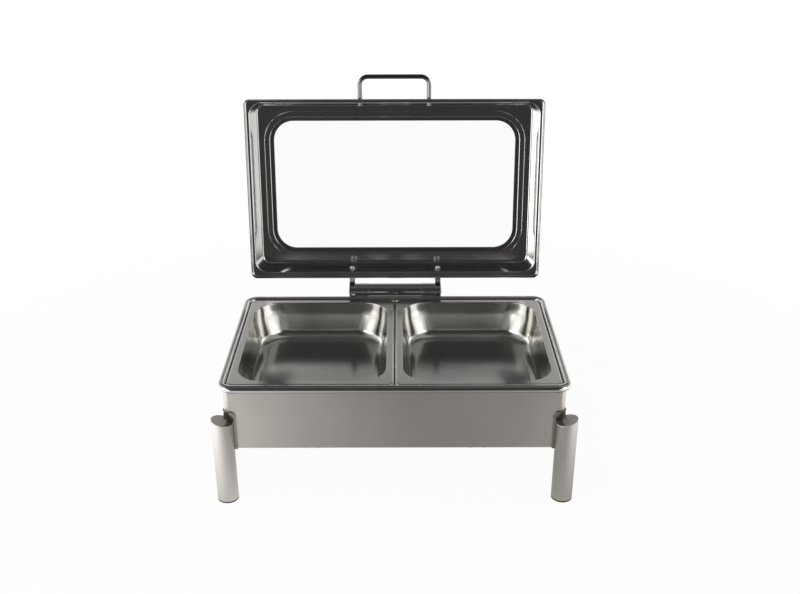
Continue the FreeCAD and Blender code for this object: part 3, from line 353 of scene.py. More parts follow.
def steelMaterial(name, colour, roughness, stretch=None, lineDepth=0.0, toneDepth=0.0, smudge=0.05, wave=0.0,
                  waveSize=12.0):
    # stainless steel with its own grinding, handling and pressing
    material = bpy.data.materials.new(name)
    material.use_nodes = True
    tree = material.node_tree
    shader = tree.nodes["Principled BSDF"]
    shader.inputs["Metallic"].default_value = 1.0
    place = tree.nodes.new("ShaderNodeTexCoord").outputs["Object"]
    marks = tree.nodes.new("ShaderNodeGroup")
    marks.node_tree = handling
    marks.inputs["Amount"].default_value = smudge
    tree.links.new(place, marks.inputs["Vector"])
    rough = mathNode(tree, "ADD", marks.outputs["Roughness"], roughness)
    base = tree.nodes.new("ShaderNodeMixRGB")
    base.inputs["Color1"].default_value = (*colour, 1)
    base.inputs["Color2"].default_value = (*[channel * 0.86 for channel in colour], 1)
    tree.links.new(marks.outputs["Mask"], base.inputs["Fac"])
    height = None
    if stretch:
        lines = tree.nodes.new("ShaderNodeGroup")
        lines.node_tree = brushing
        lines.inputs["Stretch"].default_value = stretch
        tree.links.new(place, lines.inputs["Vector"])
        rough = mathNode(tree, "MULTIPLY_ADD", lines.outputs["Lines"], toneDepth, rough)
        height = mathNode(tree, "MULTIPLY", lines.outputs["Lines"], lineDepth)
    if wave:
        slow = tree.nodes.new("ShaderNodeGroup")
        slow.node_tree = pressing
        slow.inputs["Size"].default_value = waveSize
        tree.links.new(place, slow.inputs["Vector"])
        rise = mathNode(tree, "MULTIPLY", slow.outputs["Height"], wave)
        height = mathNode(tree, "ADD", height, rise) if height is not None else rise
    if height is not None:
        bump = tree.nodes.new("ShaderNodeBump")
        bump.inputs["Strength"].default_value = 1.0
        bump.inputs["Distance"].default_value = 0.001
        tree.links.new(height, bump.inputs["Height"])
        tree.links.new(bump.outputs["Normal"], shader.inputs["Normal"])
    tree.links.new(base.outputs["Color"], shader.inputs["Base Color"])
    tree.links.new(rough, shader.inputs["Roughness"])
    return material


def addPaintedFoldShade(material, start, end, least, halfX, halfY):
    # painted shade: a darker base colour where the rolled edge turns under, outside the given half sizes, for
    # the dark underside of the bead
    tree = material.node_tree
    shader = tree.nodes["Principled BSDF"]
    plain = shader.inputs["Base Color"].links[0].from_socket
    parts = tree.nodes.new("ShaderNodeSeparateXYZ")
    tree.links.new(tree.nodes["Texture Coordinate"].outputs["Object"], parts.inputs[0])
    beyond = [mathNode(tree, "GREATER_THAN", mathNode(tree, "ABSOLUTE", parts.outputs[axis]), half)
              for axis, half in (("X", halfX), ("Y", halfY))]
    outside = mathNode(tree, "MAXIMUM", *beyond)
    under = rampNode(tree, parts.outputs["Z"], start, end, 1.0 - least, 0.0)
    loss = mathNode(tree, "MULTIPLY", outside, under)
    scaled = tree.nodes.new("ShaderNodeVectorMath")
    scaled.operation = "SCALE"
    tree.links.new(plain, scaled.inputs[0])
    tree.links.new(mathNode(tree, "SUBTRACT", 1.0, loss), scaled.inputs["Scale"])
    tree.links.new(scaled.outputs[0], shader.inputs["Base Color"])


def plainMaterial(name, colour, roughness, grain=200.0, grainDepth=0.15):
    # moulded rubber or plastic with a fine matt grain
    material = bpy.data.materials.new(name)
    material.use_nodes = True
    tree = material.node_tree
    shader = tree.nodes["Principled BSDF"]
    place = tree.nodes.new("ShaderNodeTexCoord").outputs["Object"]
    speck = noiseNode(tree, place, grain, 3.0, 0.6)
    base = tree.nodes.new("ShaderNodeMixRGB")
    base.inputs["Color1"].default_value = (*colour, 1)
    base.inputs["Color2"].default_value = (*[channel * 1.5 for channel in colour], 1)
    tree.links.new(speck, base.inputs["Fac"])
    tree.links.new(base.outputs["Color"], shader.inputs["Base Color"])
    tree.links.new(mathNode(tree, "MULTIPLY_ADD", speck, 0.15, roughness), shader.inputs["Roughness"])
    bump = tree.nodes.new("ShaderNodeBump")
    bump.inputs["Strength"].default_value = grainDepth
    bump.inputs["Distance"].default_value = 0.0002
    tree.links.new(speck, bump.inputs["Height"])
    tree.links.new(bump.outputs["Normal"], shader.inputs["Normal"])
    return material


def glassMaterial():
    material = bpy.data.materials.new("temperedGlass")
    material.use_nodes = True
    tree = material.node_tree
    shader = tree.nodes["Principled BSDF"]
    shader.inputs["Transmission Weight"].default_value = 1.0
    shader.inputs["IOR"].default_value = 1.45
    place = tree.nodes.new("ShaderNodeTexCoord").outputs["Object"]
    marks = tree.nodes.new("ShaderNodeGroup")
    marks.node_tree = handling
    marks.inputs["Amount"].default_value = 0.005
    tree.links.new(place, marks.inputs["Vector"])
    tint = tree.nodes.new("ShaderNodeMixRGB")
    tint.inputs["Color1"].default_value = (1.0, 1.0, 1.0, 1)
    tint.inputs["Color2"].default_value = (0.985, 0.995, 0.99, 1)
    tree.links.new(marks.outputs["Mask"], tint.inputs["Fac"])
    tree.links.new(tint.outputs["Color"], shader.inputs["Base Color"])
    tree.links.new(marks.outputs["Roughness"], shader.inputs["Roughness"])
    return material


bodySteel = steelMaterial("brushedBodySteel", (0.60, 0.57, 0.53), 0.34,
                          stretch=(6, 6, 1500), lineDepth=0.05, toneDepth=0.35)
legSteel = steelMaterial("satinLegSteel", (0.67, 0.64, 0.60), 0.30,
                         stretch=(900, 900, 10), lineDepth=0.03, toneDepth=0.25)
panSteel = steelMaterial("pressedPanSteel", (0.67, 0.66, 0.63), 0.16, smudge=0.06, wave=0.30, waveSize=9.0)
rimSteel = steelMaterial("rolledRimSteel", (0.66, 0.65, 0.63), 0.14, smudge=0.06, wave=0.2, waveSize=14.0)
lidSteel = steelMaterial("pressedLidSteel", (0.64, 0.63, 0.62), 0.10, wave=0.30, waveSize=8.0)
mirrorSteel = steelMaterial("polishedSteel", (0.62, 0.62, 0.61), 0.07, wave=0.1, waveSize=30.0)
# painted shade under the rim bead, multiplied into the rolled rim's base colour
addPaintedFoldShade(rimSteel, start=0.1945, end=0.1975, least=0.25, halfX=0.260, halfY=0.158)
# the handle steel's low base colour is painted reflection: the dark surroundings the polished rod mirrors are
# painted into its colour
paintedDarkHandleSteel = steelMaterial("polishedSteelPaintedDark", (0.24, 0.24, 0.24), 0.10, wave=0.1, waveSize=30.0)
capSteel = steelMaterial("groundCapSteel", (0.80, 0.79, 0.77), 0.34,
                         stretch=(900, 12, 12), lineDepth=0.02, toneDepth=0.15)
# the leg brackets' dark brown colour is painted shade, standing in for the shadow and dark reflection in the
# gap between leg and body
paintedShadePlateSteel = steelMaterial("plateSteelPaintedShade", (0.30, 0.26, 0.22), 0.20,
                           stretch=(8, 8, 900), lineDepth=0.01, toneDepth=0.1, smudge=0.06)
hiddenSteel = steelMaterial("plainSheetSteel", (0.60, 0.59, 0.58), 0.30,
                            stretch=(200, 200, 200), lineDepth=0.02, toneDepth=0.2, smudge=0.08)
bronzeMetal = steelMaterial("bearingBronze", (0.62, 0.43, 0.22), 0.30, smudge=0.08)
siliconeBlack = plainMaterial("blackSilicone", (0.012, 0.012, 0.012), 0.45)
plasticBlack = plainMaterial("blackPlastic", (0.015, 0.015, 0.015), 0.5, grain=350.0)
windowGlass = glassMaterial()
print("materials ready")


# food pans

foodPan = {"pitch": 265.0, "halfX": 132.1, "halfY": 162.1, "corner": 12.0, "top": 203.0, "lip": 4.0,
           "edge": 3.8, "flange": 13.0, "mouthCorner": 46.0, "mouthEdge": 1.1, "shoulder": 19.0,
           "wallStart": 1.5, "floorRadius": 17.0, "depth": 64.1, "wallTaper": 8.0, "sheet": 0.9,
           "cornerGrowth": 20.0,
           "slope": ((3.0, 0.15), (11.0, 0.45), (14.5, 0.68), (18.0, 1.03), (21.5, 1.5), (25.0, 2.06))}


def buildFoodPan(name, side, node):
    top, flange = foodPan["top"], foodPan["flange"]
    low, shoulder, radius = top - foodPan["depth"], top - foodPan["shoulder"], foodPan["floorRadius"]
    taper = foodPan["wallTaper"]
    lean = math.degrees(math.atan2(taper, shoulder - low))
    atCentre = flange + foodPan["wallStart"] + taper * (shoulder - low - radius) / (shoulder - low)
    centre = (atCentre + radius / math.cos(math.radians(lean)), low + radius)
    edge, mouthEdge = foodPan["edge"], foodPan["mouthEdge"]
    lip = [(0, top - foodPan["lip"])] + arcPoints((edge, top - edge), edge, 180, 90, 6)
    well = arcPoints((flange - mouthEdge, top - mouthEdge), mouthEdge, 90, 0, 4)
    # the shoulder is only a slow change of slope
    for drop, out in foodPan["slope"]:
        well.append((flange + out, top - drop))
    well += arcPoints(centre, radius, 180 + lean, 270, 9)
    middle = side * foodPan["pitch"] / 2
    # the drawn corners widen towards the floor, so that they lean more than the walls
    corner = foodPan["mouthCorner"] + flange
    drawn = [(inset, height, corner + foodPan["cornerGrowth"] * (top - height) / foodPan["depth"])
             for inset, height in well]
    points = family(foodPan["corner"], lip) + drawn
    piece = sheetPiece(name, foodPan["halfX"], foodPan["halfY"], points, foodPan["sheet"], middle, floor=True)
    finishShading(piece, 40)
    setMaterial(piece, panSteel)
    register(piece, node, "pressed_steel", node)


buildFoodPan("foodPanLeftSheet", -1, "food_pan_left")
buildFoodPan("foodPanRightSheet", 1, "food_pan_right")
print("food pans ready")


# water pan with the rolled rim

waterPan = {"beadX": 271.6, "beadY": 169.1, "beadCorner": 18.6, "beadHeight": 199.9, "beadRadius": 6.3,
            "rollEnd": -78, "rollGap": 0.5, "ledge": 198.7, "mouthX": 254.5,
            "mouthCorner": 42.0, "mouthEdge": 1.5, "floor": 107.7, "taper": 8.5, "floorRadius": 12.0,
            "sheet": 1.0}


def buildWaterPan():
    radius, ledge = waterPan["beadRadius"], waterPan["ledge"]
    bead = arcPoints((0, waterPan["beadHeight"]), radius, waterPan["rollEnd"], 178, 26)
    roll = [(-out, height) for out, height in bead]
    roll.append((radius + waterPan["rollGap"], ledge))
    low, bend = waterPan["floor"], waterPan["floorRadius"]
    depth = ledge - low
    lean = math.degrees(math.atan2(waterPan["taper"], depth))
    atCentre = waterPan["taper"] * (depth - bend) / depth
    shift = waterPan["beadX"] - waterPan["mouthX"]
    corner = (atCentre + bend / math.cos(math.radians(lean)), low + bend)
    edge = waterPan["mouthEdge"]
    well = arcPoints((-edge, ledge - edge), edge, 90, 0, 4) + arcPoints(corner, bend, 180 + lean, 270, 7)
    well = [(inset + shift, height) for inset, height in well]
    points = family(waterPan["beadCorner"], roll) + family(waterPan["mouthCorner"] + shift, well)
    piece = sheetPiece("waterPanSheet", waterPan["beadX"], waterPan["beadY"], points, waterPan["sheet"],
                       floor=True)
    finishShading(piece, 40)
    setMaterial(piece, rimSteel)
    register(piece, "water_pan", "pressed_steel", "water_pan")


buildWaterPan()
print("water pan ready")


# brushed body

bodyShell = {"halfX": 269.0, "halfY": 166.5, "corner": 9.0, "low": 90.4, "high": 197.4, "edge": 2.0,
             "flange": 12.0, "mouthCorner": 42.0, "sheet": 1.2}


def buildBody():
    edge, flange = bodyShell["edge"], bodyShell["flange"]
    low, high = bodyShell["low"], bodyShell["high"]
    side = arcPoints((edge, low + edge), edge, 270, 180, 5) + arcPoints((edge, high - edge), edge, 180, 90, 5)
    mouth = bodyShell["mouthCorner"] + flange
    points = family(mouth, [(flange, low)]) + family(bodyShell["corner"], side)
    points += family(mouth, [(flange, high)])
    piece = sheetPiece("bodySheet", bodyShell["halfX"], bodyShell["halfY"], points, bodyShell["sheet"])
    finishShading(piece, 40)
    setMaterial(piece, bodySteel)
    register(piece, "stand", "brushed_steel", "stand_skirt")


buildBody()
print("body ready")


# legs

leg = {"x": 271.7, "y": 172.5, "radius": 17.0, "foot": 3.0, "top": 145.0, "slant": 15.8, "cap": 2.0,
       "notchX": 271.2, "notchY": 168.7, "notchCorner": 11.2, "notchLow": 90.2, "notchHigh": 230.0,
       "capEdge": 0.5, "footEdge": 0.8, "uncut": 200, "capStart": 60}


def slantCut(piece, height, keepBelow):
    # a slanted cut that rises away from the body
    lean = math.radians(leg["slant"])
    normal = Vector((-math.sin(lean), 0, math.cos(lean)))
    editOn(piece)
    bpy.ops.mesh.select_all(action="SELECT")
    bpy.ops.mesh.bisect(plane_co=(leg["x"] * mm, leg["y"] * mm, height * mm), plane_no=normal,
                        use_fill=True, clear_outer=keepBelow, clear_inner=not keepBelow)
    editOff()


def notchCut(piece):
    # takes the body's corner and its plate out of the piece
    rings = [(leg["notchX"], leg["notchY"], leg["notchCorner"], height)
             for height in (leg["notchLow"], leg["notchHigh"])]
    block = loftPiece("notchBlock", rings, fillStart=True, fillEnd=True)
    evenNormals(block)
    applyModifier(piece, "BOOLEAN", operation="DIFFERENCE", object=block, solver="EXACT")
    bpy.data.objects.remove(block)


def roundBar(name, radius, low, high, steps=96):
    deselectAll()
    bpy.ops.mesh.primitive_cylinder_add(vertices=steps, radius=radius * mm, depth=(high - low) * mm,
                                        location=(leg["x"] * mm, leg["y"] * mm, (low + high) / 2 * mm))
    piece = bpy.context.object
    piece.name = name
    bpy.ops.object.transform_apply(location=True, rotation=True, scale=True)
    return piece


def atCorner(piece, name, signX, signY):
    # a mirrored copy with its own mesh
    copy = piece.copy()
    copy.data = piece.data.copy()
    copy.name = name
    bpy.context.scene.collection.objects.link(copy)
    placed(copy, Matrix.Diagonal((signX, signY, 1, 1)))
    if signX * signY < 0:
        lowest = min(copy.data.polygons, key=lambda face: face.center.z)
        if lowest.normal.z > 0:
            editOn(copy)
            bpy.ops.mesh.select_all(action="SELECT")
            bpy.ops.mesh.flip_normals()
            editOff()
    return copy


def buildLegs():
    tube = roundBar("legTube", leg["radius"], leg["foot"], leg["uncut"])
    slantCut(tube, leg["top"] - leg["cap"], True)
    notchCut(tube)
    cap = roundBar("legCap", leg["radius"], leg["capStart"], leg["uncut"])
    slantCut(cap, leg["top"], True)
    slantCut(cap, leg["top"] - leg["cap"], False)
    notchCut(cap)
    roundEdges(cap, leg["capEdge"], 3, 40)
    foot = roundBar("legGlide", leg["radius"], 0, leg["foot"])
    roundEdges(foot, leg["footEdge"], 3, 40)
    corners = {"rear_right": (1, 1), "rear_left": (-1, 1), "front_right": (1, -1), "front_left": (-1, -1)}
    parts = ((tube, "leg_", legSteel, "brushed_steel"), (cap, "leg_cap_", capSteel, "polished_steel"),
             (foot, "leg_foot_", plasticBlack, "black_plastic"))
    for corner, (signX, signY) in corners.items():
        for piece, label, material, slotName in parts:
            copy = atCorner(piece, label + corner + "_shape", signX, signY)
            finishShading(copy, 35)
            setMaterial(copy, material)
            register(copy, "stand", slotName, label + corner)
        # the brackets take the plate steel whose dark colour is painted shade
        smoothCopy("leg_bracket_" + corner, "stand", "brushed_steel", paintedShadePlateSteel)
    for piece in (tube, cap, foot):
        bpy.data.objects.remove(piece)


buildLegs()
print("legs ready")


# lid, built closed and then opened

lidShell = {"halfX": 264.5, "halfY": 162.0, "corner": 10.0, "lip": 203.4, "step": 216.4, "edge": 3.0,
            "stepInset": 7.0, "stepCorner": 22.5, "bend": 1.4, "bendShift": 1.2, "wallAngle": 172,
            "footInset": 13.6, "footCorner": 16.0, "footRound": 3.2, "panel": 262.4, "opening": 33.5,
            "sheet": 1.0, "concentric": 80.0}


def buildLidShell():
    low, step, edge = lidShell["lip"], lidShell["step"], lidShell["edge"]
    stepInset, stepCorner = lidShell["stepInset"], lidShell["stepCorner"]
    footInset, footRound, panel = lidShell["footInset"], lidShell["footRound"], lidShell["panel"]
    rim = [(0, low)] + arcPoints((edge, step - edge), edge, 180, 90, 5)
    points = family(lidShell["corner"], rim)
    radius, wall = lidShell["bend"], lidShell["wallAngle"]
    bend = arcPoints((stepInset - lidShell["bendShift"], step + radius), radius, 270, wall + 180, 4)
    points += family(stepCorner + stepInset, bend)
    foot = arcPoints((footInset + footRound, panel - footRound), footRound, wall, 90, 6)
    points += family(lidShell["footCorner"] + footInset, foot)
    points.append((lidShell["opening"], panel, lidShell["concentric"]))
    piece = sheetPiece("lidSheet", lidShell["halfX"], lidShell["halfY"], points, lidShell["sheet"])
    finishShading(piece, 40)
    opened(piece)
    setMaterial(piece, lidSteel)
    register(piece, "lid", "pressed_steel", "lid_shell")


window = {"panel": 261.4, "frameOuter": 26.4, "frameInner": 37.2, "frameHeight": 3.4, "frameEdge": 1.4,
          "frameSheet": 1.2, "clear": 44.0, "glassInset": 28.5, "glassLow": 264.0, "glassHigh": 268.0,
          "glassEdge": 0.4, "gap": 0.1, "side": 0.2, "slot": 33.7, "sealTop": 268.4, "sealWidth": 3.2,
          "sealSeat": 1.1, "sealEdge": 0.35}


def windowRings(points):
    return [(lidShell["halfX"] - inset, lidShell["halfY"] - inset, lidShell["concentric"] - inset, height)
            for inset, height in points]


def buildFrame():
    top, edge = window["panel"] - window["gap"], window["frameEdge"]
    low = top - window["frameHeight"]
    inner, outer = window["frameInner"], window["frameOuter"]
    section = [(inner, top)] + arcPoints((inner - edge, low + edge), edge, 360, 270, 5)
    section += arcPoints((outer + edge, low + edge), edge, 270, 180, 5) + [(outer, top)]
    ring = sheetPiece("windowFrameRing", lidShell["halfX"], lidShell["halfY"],
                      family(lidShell["concentric"], section), window["frameSheet"])
    finishShading(ring, 40)
    opened(ring)
    setMaterial(ring, lidSteel)
    register(ring, "lid", "polished_steel", "window_frame")


def buildGasket():
    # an upright ring with a lip over the panel and one under the pane
    side, slot, top = window["side"], window["slot"], window["sealTop"]
    under, seat = window["panel"] + side, window["glassLow"] - window["gap"]
    wall, back = window["glassInset"] - side, window["glassInset"] - window["sealWidth"]
    over = window["panel"] + window["sealSeat"]
    section = [(slot, under), (window["clear"], under), (window["clear"], seat), (wall, seat), (wall, top),
               (back, top), (back, over), (slot, over)]
    gasket = loftPiece("windowGasketRing", windowRings(section), loop=True)
    evenNormals(gasket)
    roundEdges(gasket, window["sealEdge"], 3, 40)
    finishShading(gasket, 35)
    opened(gasket)
    setMaterial(gasket, siliconeBlack)
    register(gasket, "lid", "black_silicone", "window_gasket")


def buildPane():
    inset = window["glassInset"]
    rings = windowRings([(inset, window["glassLow"]), (inset, window["glassHigh"])])
    pane = loftPiece("windowPane", rings, fillStart=True, fillEnd=True)
    evenNormals(pane)
    roundEdges(pane, window["glassEdge"], 2, 40)
    finishShading(pane, 35)
    opened(pane)
    setMaterial(pane, windowGlass)
    register(pane, "lid", "tempered_glass", "window_glass")


buildLidShell()
buildFrame()
buildGasket()
buildPane()
print("lid ready")


# lid handle: a bar swept by extrude and spin

handle = {"halfSpacing": 61.0, "base": -152.3, "reach": -199.0, "radius": 4.0, "bend": 14.0, "height": 222.0}


def buildHandle():
    x, z, bend = handle["halfSpacing"] * mm, handle["height"] * mm, handle["bend"] * mm
    turnY, quarter = handle["reach"] * mm + bend, math.radians(90)
    deselectAll()
    bpy.ops.mesh.primitive_circle_add(vertices=32, radius=handle["radius"] * mm, fill_type="NGON",
                                      location=(x, handle["base"] * mm, z), rotation=(quarter, 0, 0))
    piece = bpy.context.object
    piece.name = "handleBar"
    bpy.ops.object.transform_apply(location=True, rotation=True, scale=True)
    editOn(piece)
    bpy.ops.mesh.select_all(action="SELECT")
    run = (handle["base"] - handle["reach"]) * mm - bend
    bpy.ops.mesh.extrude_region_move(TRANSFORM_OT_translate={"value": (0, -run, 0)})
    bpy.ops.mesh.spin(steps=14, angle=quarter, center=(x - bend, turnY, z), axis=(0, 0, 1))
    bpy.ops.mesh.extrude_region_move(TRANSFORM_OT_translate={"value": (-2 * (x - bend), 0, 0)})
    bpy.ops.mesh.spin(steps=14, angle=quarter, center=(-x + bend, turnY, z), axis=(0, 0, 1))
    bpy.ops.mesh.extrude_region_move(TRANSFORM_OT_translate={"value": (0, run, 0)})
    bpy.ops.mesh.select_all(action="SELECT")
    bpy.ops.mesh.remove_doubles(threshold=0.00001)
    editOff()
    evenNormals(piece)
    finishShading(piece, 35)
    opened(piece)
    setMaterial(piece, paintedDarkHandleSteel)
    register(piece, "lid", "polished_steel", "lid_handle")


buildHandle()
# the ferrules and screws share the handle's painted dark reflection
for node in ("handle_ferrules", "handle_screws"):
    smoothCopy(node, "lid", "polished_steel", paintedDarkHandleSteel)
for node in ("hinge_arm_left", "hinge_arm_right", "arm_nuts", "hinge_end_caps"):
    smoothCopy(node, "lid", "polished_steel", mirrorSteel)
print("handle ready")


# hinge on the rear rim

barrel = {"radius": 13.0, "halfLength": 49.3, "edge": 0.5}


def buildBarrel():
    deselectAll()
    bpy.ops.mesh.primitive_cylinder_add(vertices=96, radius=barrel["radius"] * mm,
                                        depth=2 * barrel["halfLength"] * mm, location=hingeLine,
                                        rotation=(0, math.radians(90), 0))
    piece = bpy.context.object
    piece.name = "hingeSleeve"
    bpy.ops.object.transform_apply(location=True, rotation=True, scale=True)
    roundEdges(piece, barrel["edge"], 3, 40)
    finishShading(piece, 35)
    setMaterial(piece, mirrorSteel)
    register(piece, "water_pan", "polished_steel", "hinge_barrel")


buildBarrel()
for node in ("hinge_bracket_left", "hinge_bracket_right", "barrel_rings", "hinge_clamps", "clamp_screws"):
    smoothCopy(node, "water_pan", "polished_steel", mirrorSteel)
print("hinge ready")


# burners and inner pieces keep their nodes' shapes

for node in ("burner_rail_left", "burner_rail_right", "burner_cup_left", "burner_cup_right", "rail_rivets",
             "cup_rivets", "snuffer_pins", "leg_screws"):
    smoothCopy(node, "stand", "brushed_steel", hiddenSteel)
smoothCopy("snuffer_left", "snuffer_left", "brushed_steel", hiddenSteel)
smoothCopy("snuffer_right", "snuffer_right", "brushed_steel", hiddenSteel)
for node in ("leg_inserts", "damper_housing", "damper_cover", "torsion_spring", "spring_anchor",
             "hinge_shaft", "damper_rotor", "spring_driver"):
    setMaterial(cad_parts[node], hiddenSteel)
setMaterial(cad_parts["hinge_bushes"], bronzeMetal)
print("inner pieces ready")


# floor, studio light and camera

# a ramp is start, end, value at the start, value at the end; a band is low, high, softness
studio = {"floor": (3.2, 4.0), "floorMiddle": 0.9, "floorGrey": 0.86, "floorRough": 0.7,
          "glow": (0.5, 1.3, 0.95, 1.0), "paperEdge": (-0.80, -0.56, 0.04, 1.0), "paperMiddle": 0.09,
          "paper": 0.36, "paperRise": 3.5, "paperMost": 1.6}
walls = {"overhead": (0.7, 0.98, 0.05, 0.12), "left": (-0.05, 1.02, 1.5, 0.1),
         "right": (0.42, 0.06, 0.38, 1.2), "sideSplit": (-0.1, 0.1), "lift": -0.6, "beside": (-0.965, -0.88),
         "rearLow": (0.42, 0.16, 0.0, 0.75), "rearHigh": (0.64, 0.48, 0.09, 0.5),
         "boardHeight": (-0.24, 0.12, 0.05), "boardDepth": (-0.93, -0.78, 0.05), "leftBoard": 3.4,
         "rightBoard": 0.7, "boxHeight": (0.20, 0.45, 0.07), "boxDepth": (-0.74, -0.26, 0.08), "boxes": 2.6,
         "openingWidth": (-0.16, 0.16, 0.12), "openingHeight": (0.05, 0.30, 0.1, 0.2), "behind": (0.35, 0.8),
         "through": (0.16, -0.06)}


def bandNode(tree, value, low, high, soft):
    # one between low and high, nothing outside
    rise = rampNode(tree, value, low - soft, low + soft)
    fall = rampNode(tree, value, high + soft, high - soft)
    return mathNode(tree, "MULTIPLY", rise, fall)


def buildFloor():
    deselectAll()
    bpy.ops.mesh.primitive_plane_add(size=1)
    floor = bpy.context.object
    floor.name = "studioFloor"
    floor.scale = (*studio["floor"], 1)
    floor.location = (0, studio["floorMiddle"], 0)
    bpy.ops.object.transform_apply(location=True, rotation=True, scale=True)
    material = bpy.data.materials.new("paleFloor")
    material.use_nodes = True
    tree = material.node_tree
    shader = tree.nodes["Principled BSDF"]
    shader.inputs["Base Color"].default_value = (*[studio["floorGrey"]] * 3, 1)
    shader.inputs["Roughness"].default_value = studio["floorRough"]
    glow = tree.nodes.new("ShaderNodeEmission")
    seen = tree.nodes.new("ShaderNodeLightPath")
    place = tree.nodes.new("ShaderNodeTexCoord").outputs["Object"]
    parts = tree.nodes.new("ShaderNodeSeparateXYZ")
    tree.links.new(place, parts.inputs[0])
    away = tree.nodes.new("ShaderNodeVectorMath")
    away.operation = "LENGTH"
    tree.links.new(place, away.inputs[0])
    # the paper ends a little before the object and is brighter at its sides
    aside = mathNode(tree, "SUBTRACT", parts.outputs["X"], studio["paperMiddle"])
    squared = mathNode(tree, "MULTIPLY", aside, aside)
    paper = mathNode(tree, "MULTIPLY_ADD", squared, studio["paperRise"], studio["paper"])
    paper = mathNode(tree, "MINIMUM", paper, studio["paperMost"])
    paper = mathNode(tree, "MULTIPLY", paper, rampNode(tree, parts.outputs["Y"], *studio["paperEdge"]))
    looking = mathNode(tree, "MAXIMUM", seen.outputs["Is Camera Ray"], seen.outputs["Is Transmission Ray"])
    shown = rampNode(tree, away.outputs["Value"], *studio["glow"])
    unseen = mathNode(tree, "SUBTRACT", 1.0, looking)
    glossy = mathNode(tree, "MULTIPLY", seen.outputs["Is Glossy Ray"], unseen)
    level = mathNode(tree, "ADD", mathNode(tree, "MULTIPLY", paper, glossy),
                     mathNode(tree, "SUBTRACT", 1.0, glossy))
    tree.links.new(level, glow.inputs["Strength"])
    mixed = tree.nodes.new("ShaderNodeMixShader")
    share = mathNode(tree, "MAXIMUM", mathNode(tree, "MULTIPLY", looking, shown), glossy)
    tree.links.new(share, mixed.inputs["Fac"])
    tree.links.new(shader.outputs["BSDF"], mixed.inputs[1])
    tree.links.new(glow.outputs["Emission"], mixed.inputs[2])
    tree.links.new(mixed.outputs["Shader"], tree.nodes["Material Output"].inputs["Surface"])
    floor.data.materials.append(material)


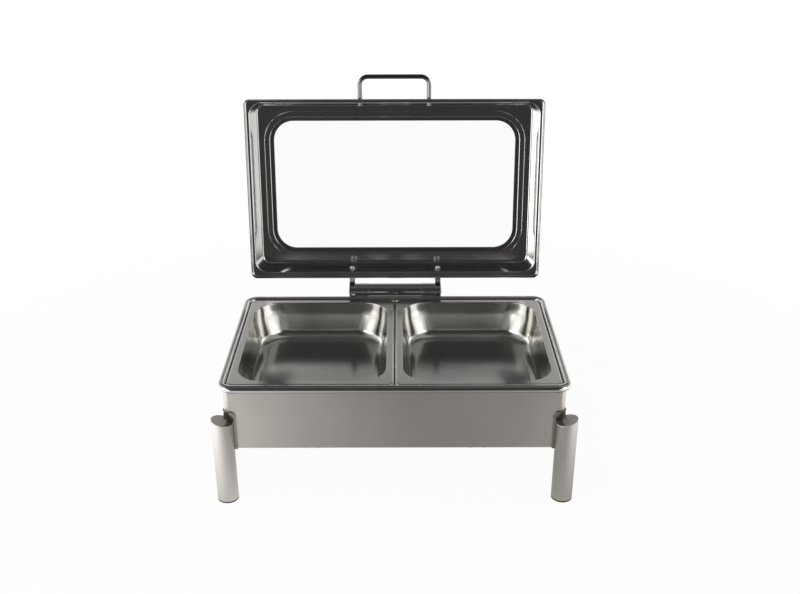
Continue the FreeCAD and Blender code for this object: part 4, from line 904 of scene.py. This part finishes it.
def buildWorld():
    # pale walls behind and at both sides, brightest near the floor, dark overhead and behind the camera
    world = bpy.data.worlds.new("studioWorld")
    bpy.context.scene.world = world
    world.use_nodes = True
    tree = world.node_tree
    background = tree.nodes["Background"]
    direction = tree.nodes.new("ShaderNodeTexCoord").outputs["Generated"]
    parts = tree.nodes.new("ShaderNodeSeparateXYZ")
    tree.links.new(direction, parts.inputs[0])
    x, y, z = parts.outputs
    level = mathNode(tree, "SQRT", mathNode(tree, "SUBTRACT", 1.0001, mathNode(tree, "MULTIPLY", z, z)))
    depth = mathNode(tree, "DIVIDE", y, level)
    overhead = rampNode(tree, z, *walls["overhead"])
    leftWall = rampNode(tree, z, *walls["left"])
    rightWall = rampNode(tree, z, *walls["right"])
    onRight = rampNode(tree, x, *walls["sideSplit"])
    side = mathNode(tree, "MULTIPLY_ADD", mathNode(tree, "SUBTRACT", rightWall, leftWall), onRight, leftWall)
    reach = mathNode(tree, "MULTIPLY_ADD", mathNode(tree, "MAXIMUM", z, 0.0), walls["lift"], depth)
    beside = rampNode(tree, reach, *walls["beside"])
    bright = mathNode(tree, "MULTIPLY_ADD", mathNode(tree, "SUBTRACT", side, overhead), beside, overhead)
    wall = mathNode(tree, "ADD", rampNode(tree, z, *walls["rearLow"]), rampNode(tree, z, *walls["rearHigh"]))
    # a board low at each front corner and a softbox higher at each side
    boards = mathNode(tree, "MULTIPLY", bandNode(tree, z, *walls["boardHeight"]),
                      bandNode(tree, depth, *walls["boardDepth"]))
    boxes = mathNode(tree, "MULTIPLY", bandNode(tree, z, *walls["boxHeight"]),
                     bandNode(tree, depth, *walls["boxDepth"]))
    left, right = walls["leftBoard"], walls["rightBoard"]
    boardLevel = mathNode(tree, "MULTIPLY_ADD", onRight, right - left, left)
    boxLight = mathNode(tree, "MULTIPLY", boxes, walls["boxes"])
    bright = mathNode(tree, "ADD", bright, mathNode(tree, "MULTIPLY_ADD", boards, boardLevel, boxLight))
    # a darker opening in the middle of the wall behind
    opening = mathNode(tree, "MULTIPLY", bandNode(tree, x, *walls["openingWidth"]),
                       rampNode(tree, z, *walls["openingHeight"]))
    wall = mathNode(tree, "MULTIPLY", wall, mathNode(tree, "SUBTRACT", 1.0, opening))
    behind = rampNode(tree, depth, *walls["behind"])
    bright = mathNode(tree, "MULTIPLY_ADD", mathNode(tree, "SUBTRACT", wall, bright), behind, bright)
    seen = tree.nodes.new("ShaderNodeLightPath")
    # a ray that goes up through the glass comes from the steel, one that goes down comes from the camera
    downward = rampNode(tree, z, *walls["through"])
    through = mathNode(tree, "MULTIPLY", seen.outputs["Is Transmission Ray"], downward)
    looking = mathNode(tree, "MAXIMUM", seen.outputs["Is Camera Ray"], through)
    tree.links.new(mathNode(tree, "MAXIMUM", looking, bright), background.inputs["Strength"])
    background.inputs["Color"].default_value = (1, 1, 1, 1)


def addLamp(name, place, target, size, power):
    deselectAll()
    bpy.ops.object.light_add(type="AREA", location=place)
    lamp = bpy.context.object
    lamp.name = name
    lamp.data.shape = "RECTANGLE"
    lamp.data.size, lamp.data.size_y = size
    lamp.data.energy = power
    lamp.visible_camera = False
    lamp.visible_transmission = False
    lamp.visible_glossy = False
    lamp.rotation_euler = (Vector(target) - Vector(place)).to_track_quat("-Z", "Y").to_euler()


eye = {"place": (0.00806, -1.54168, 0.96939), "pitch": 25.89, "yaw": 0.08, "roll": 0.10, "focal": 1012.73,
       "row": 329.11, "width": 800, "middleRow": 297, "sensor": 36, "far": 50}


def buildCamera():
    # fitted to the photograph; focal, row and width are in pixels
    deselectAll()
    bpy.ops.object.camera_add(location=eye["place"])
    camera = bpy.context.object
    camera.data.sensor_width = eye["sensor"]
    camera.data.lens = eye["focal"] * eye["sensor"] / eye["width"]
    camera.data.shift_y = (eye["row"] - eye["middleRow"]) / eye["width"]
    camera.rotation_euler = (math.radians(90 - eye["pitch"]), math.radians(eye["roll"]),
                             math.radians(-eye["yaw"]))
    camera.data.clip_end = eye["far"]
    bpy.context.scene.camera = camera


buildFloor()
buildWorld()
addLamp("softTop", (0.0, -0.2, 2.2), (0, 0, 0.2), (2.2, 1.6), 30)
addLamp("softLeft", (-1.27, -0.89, 0.9), (0, 0, 0.25), (1.8, 1.3), 8)
buildCamera()
bpy.context.scene.view_settings.view_transform = "Standard"
print("studio ready")
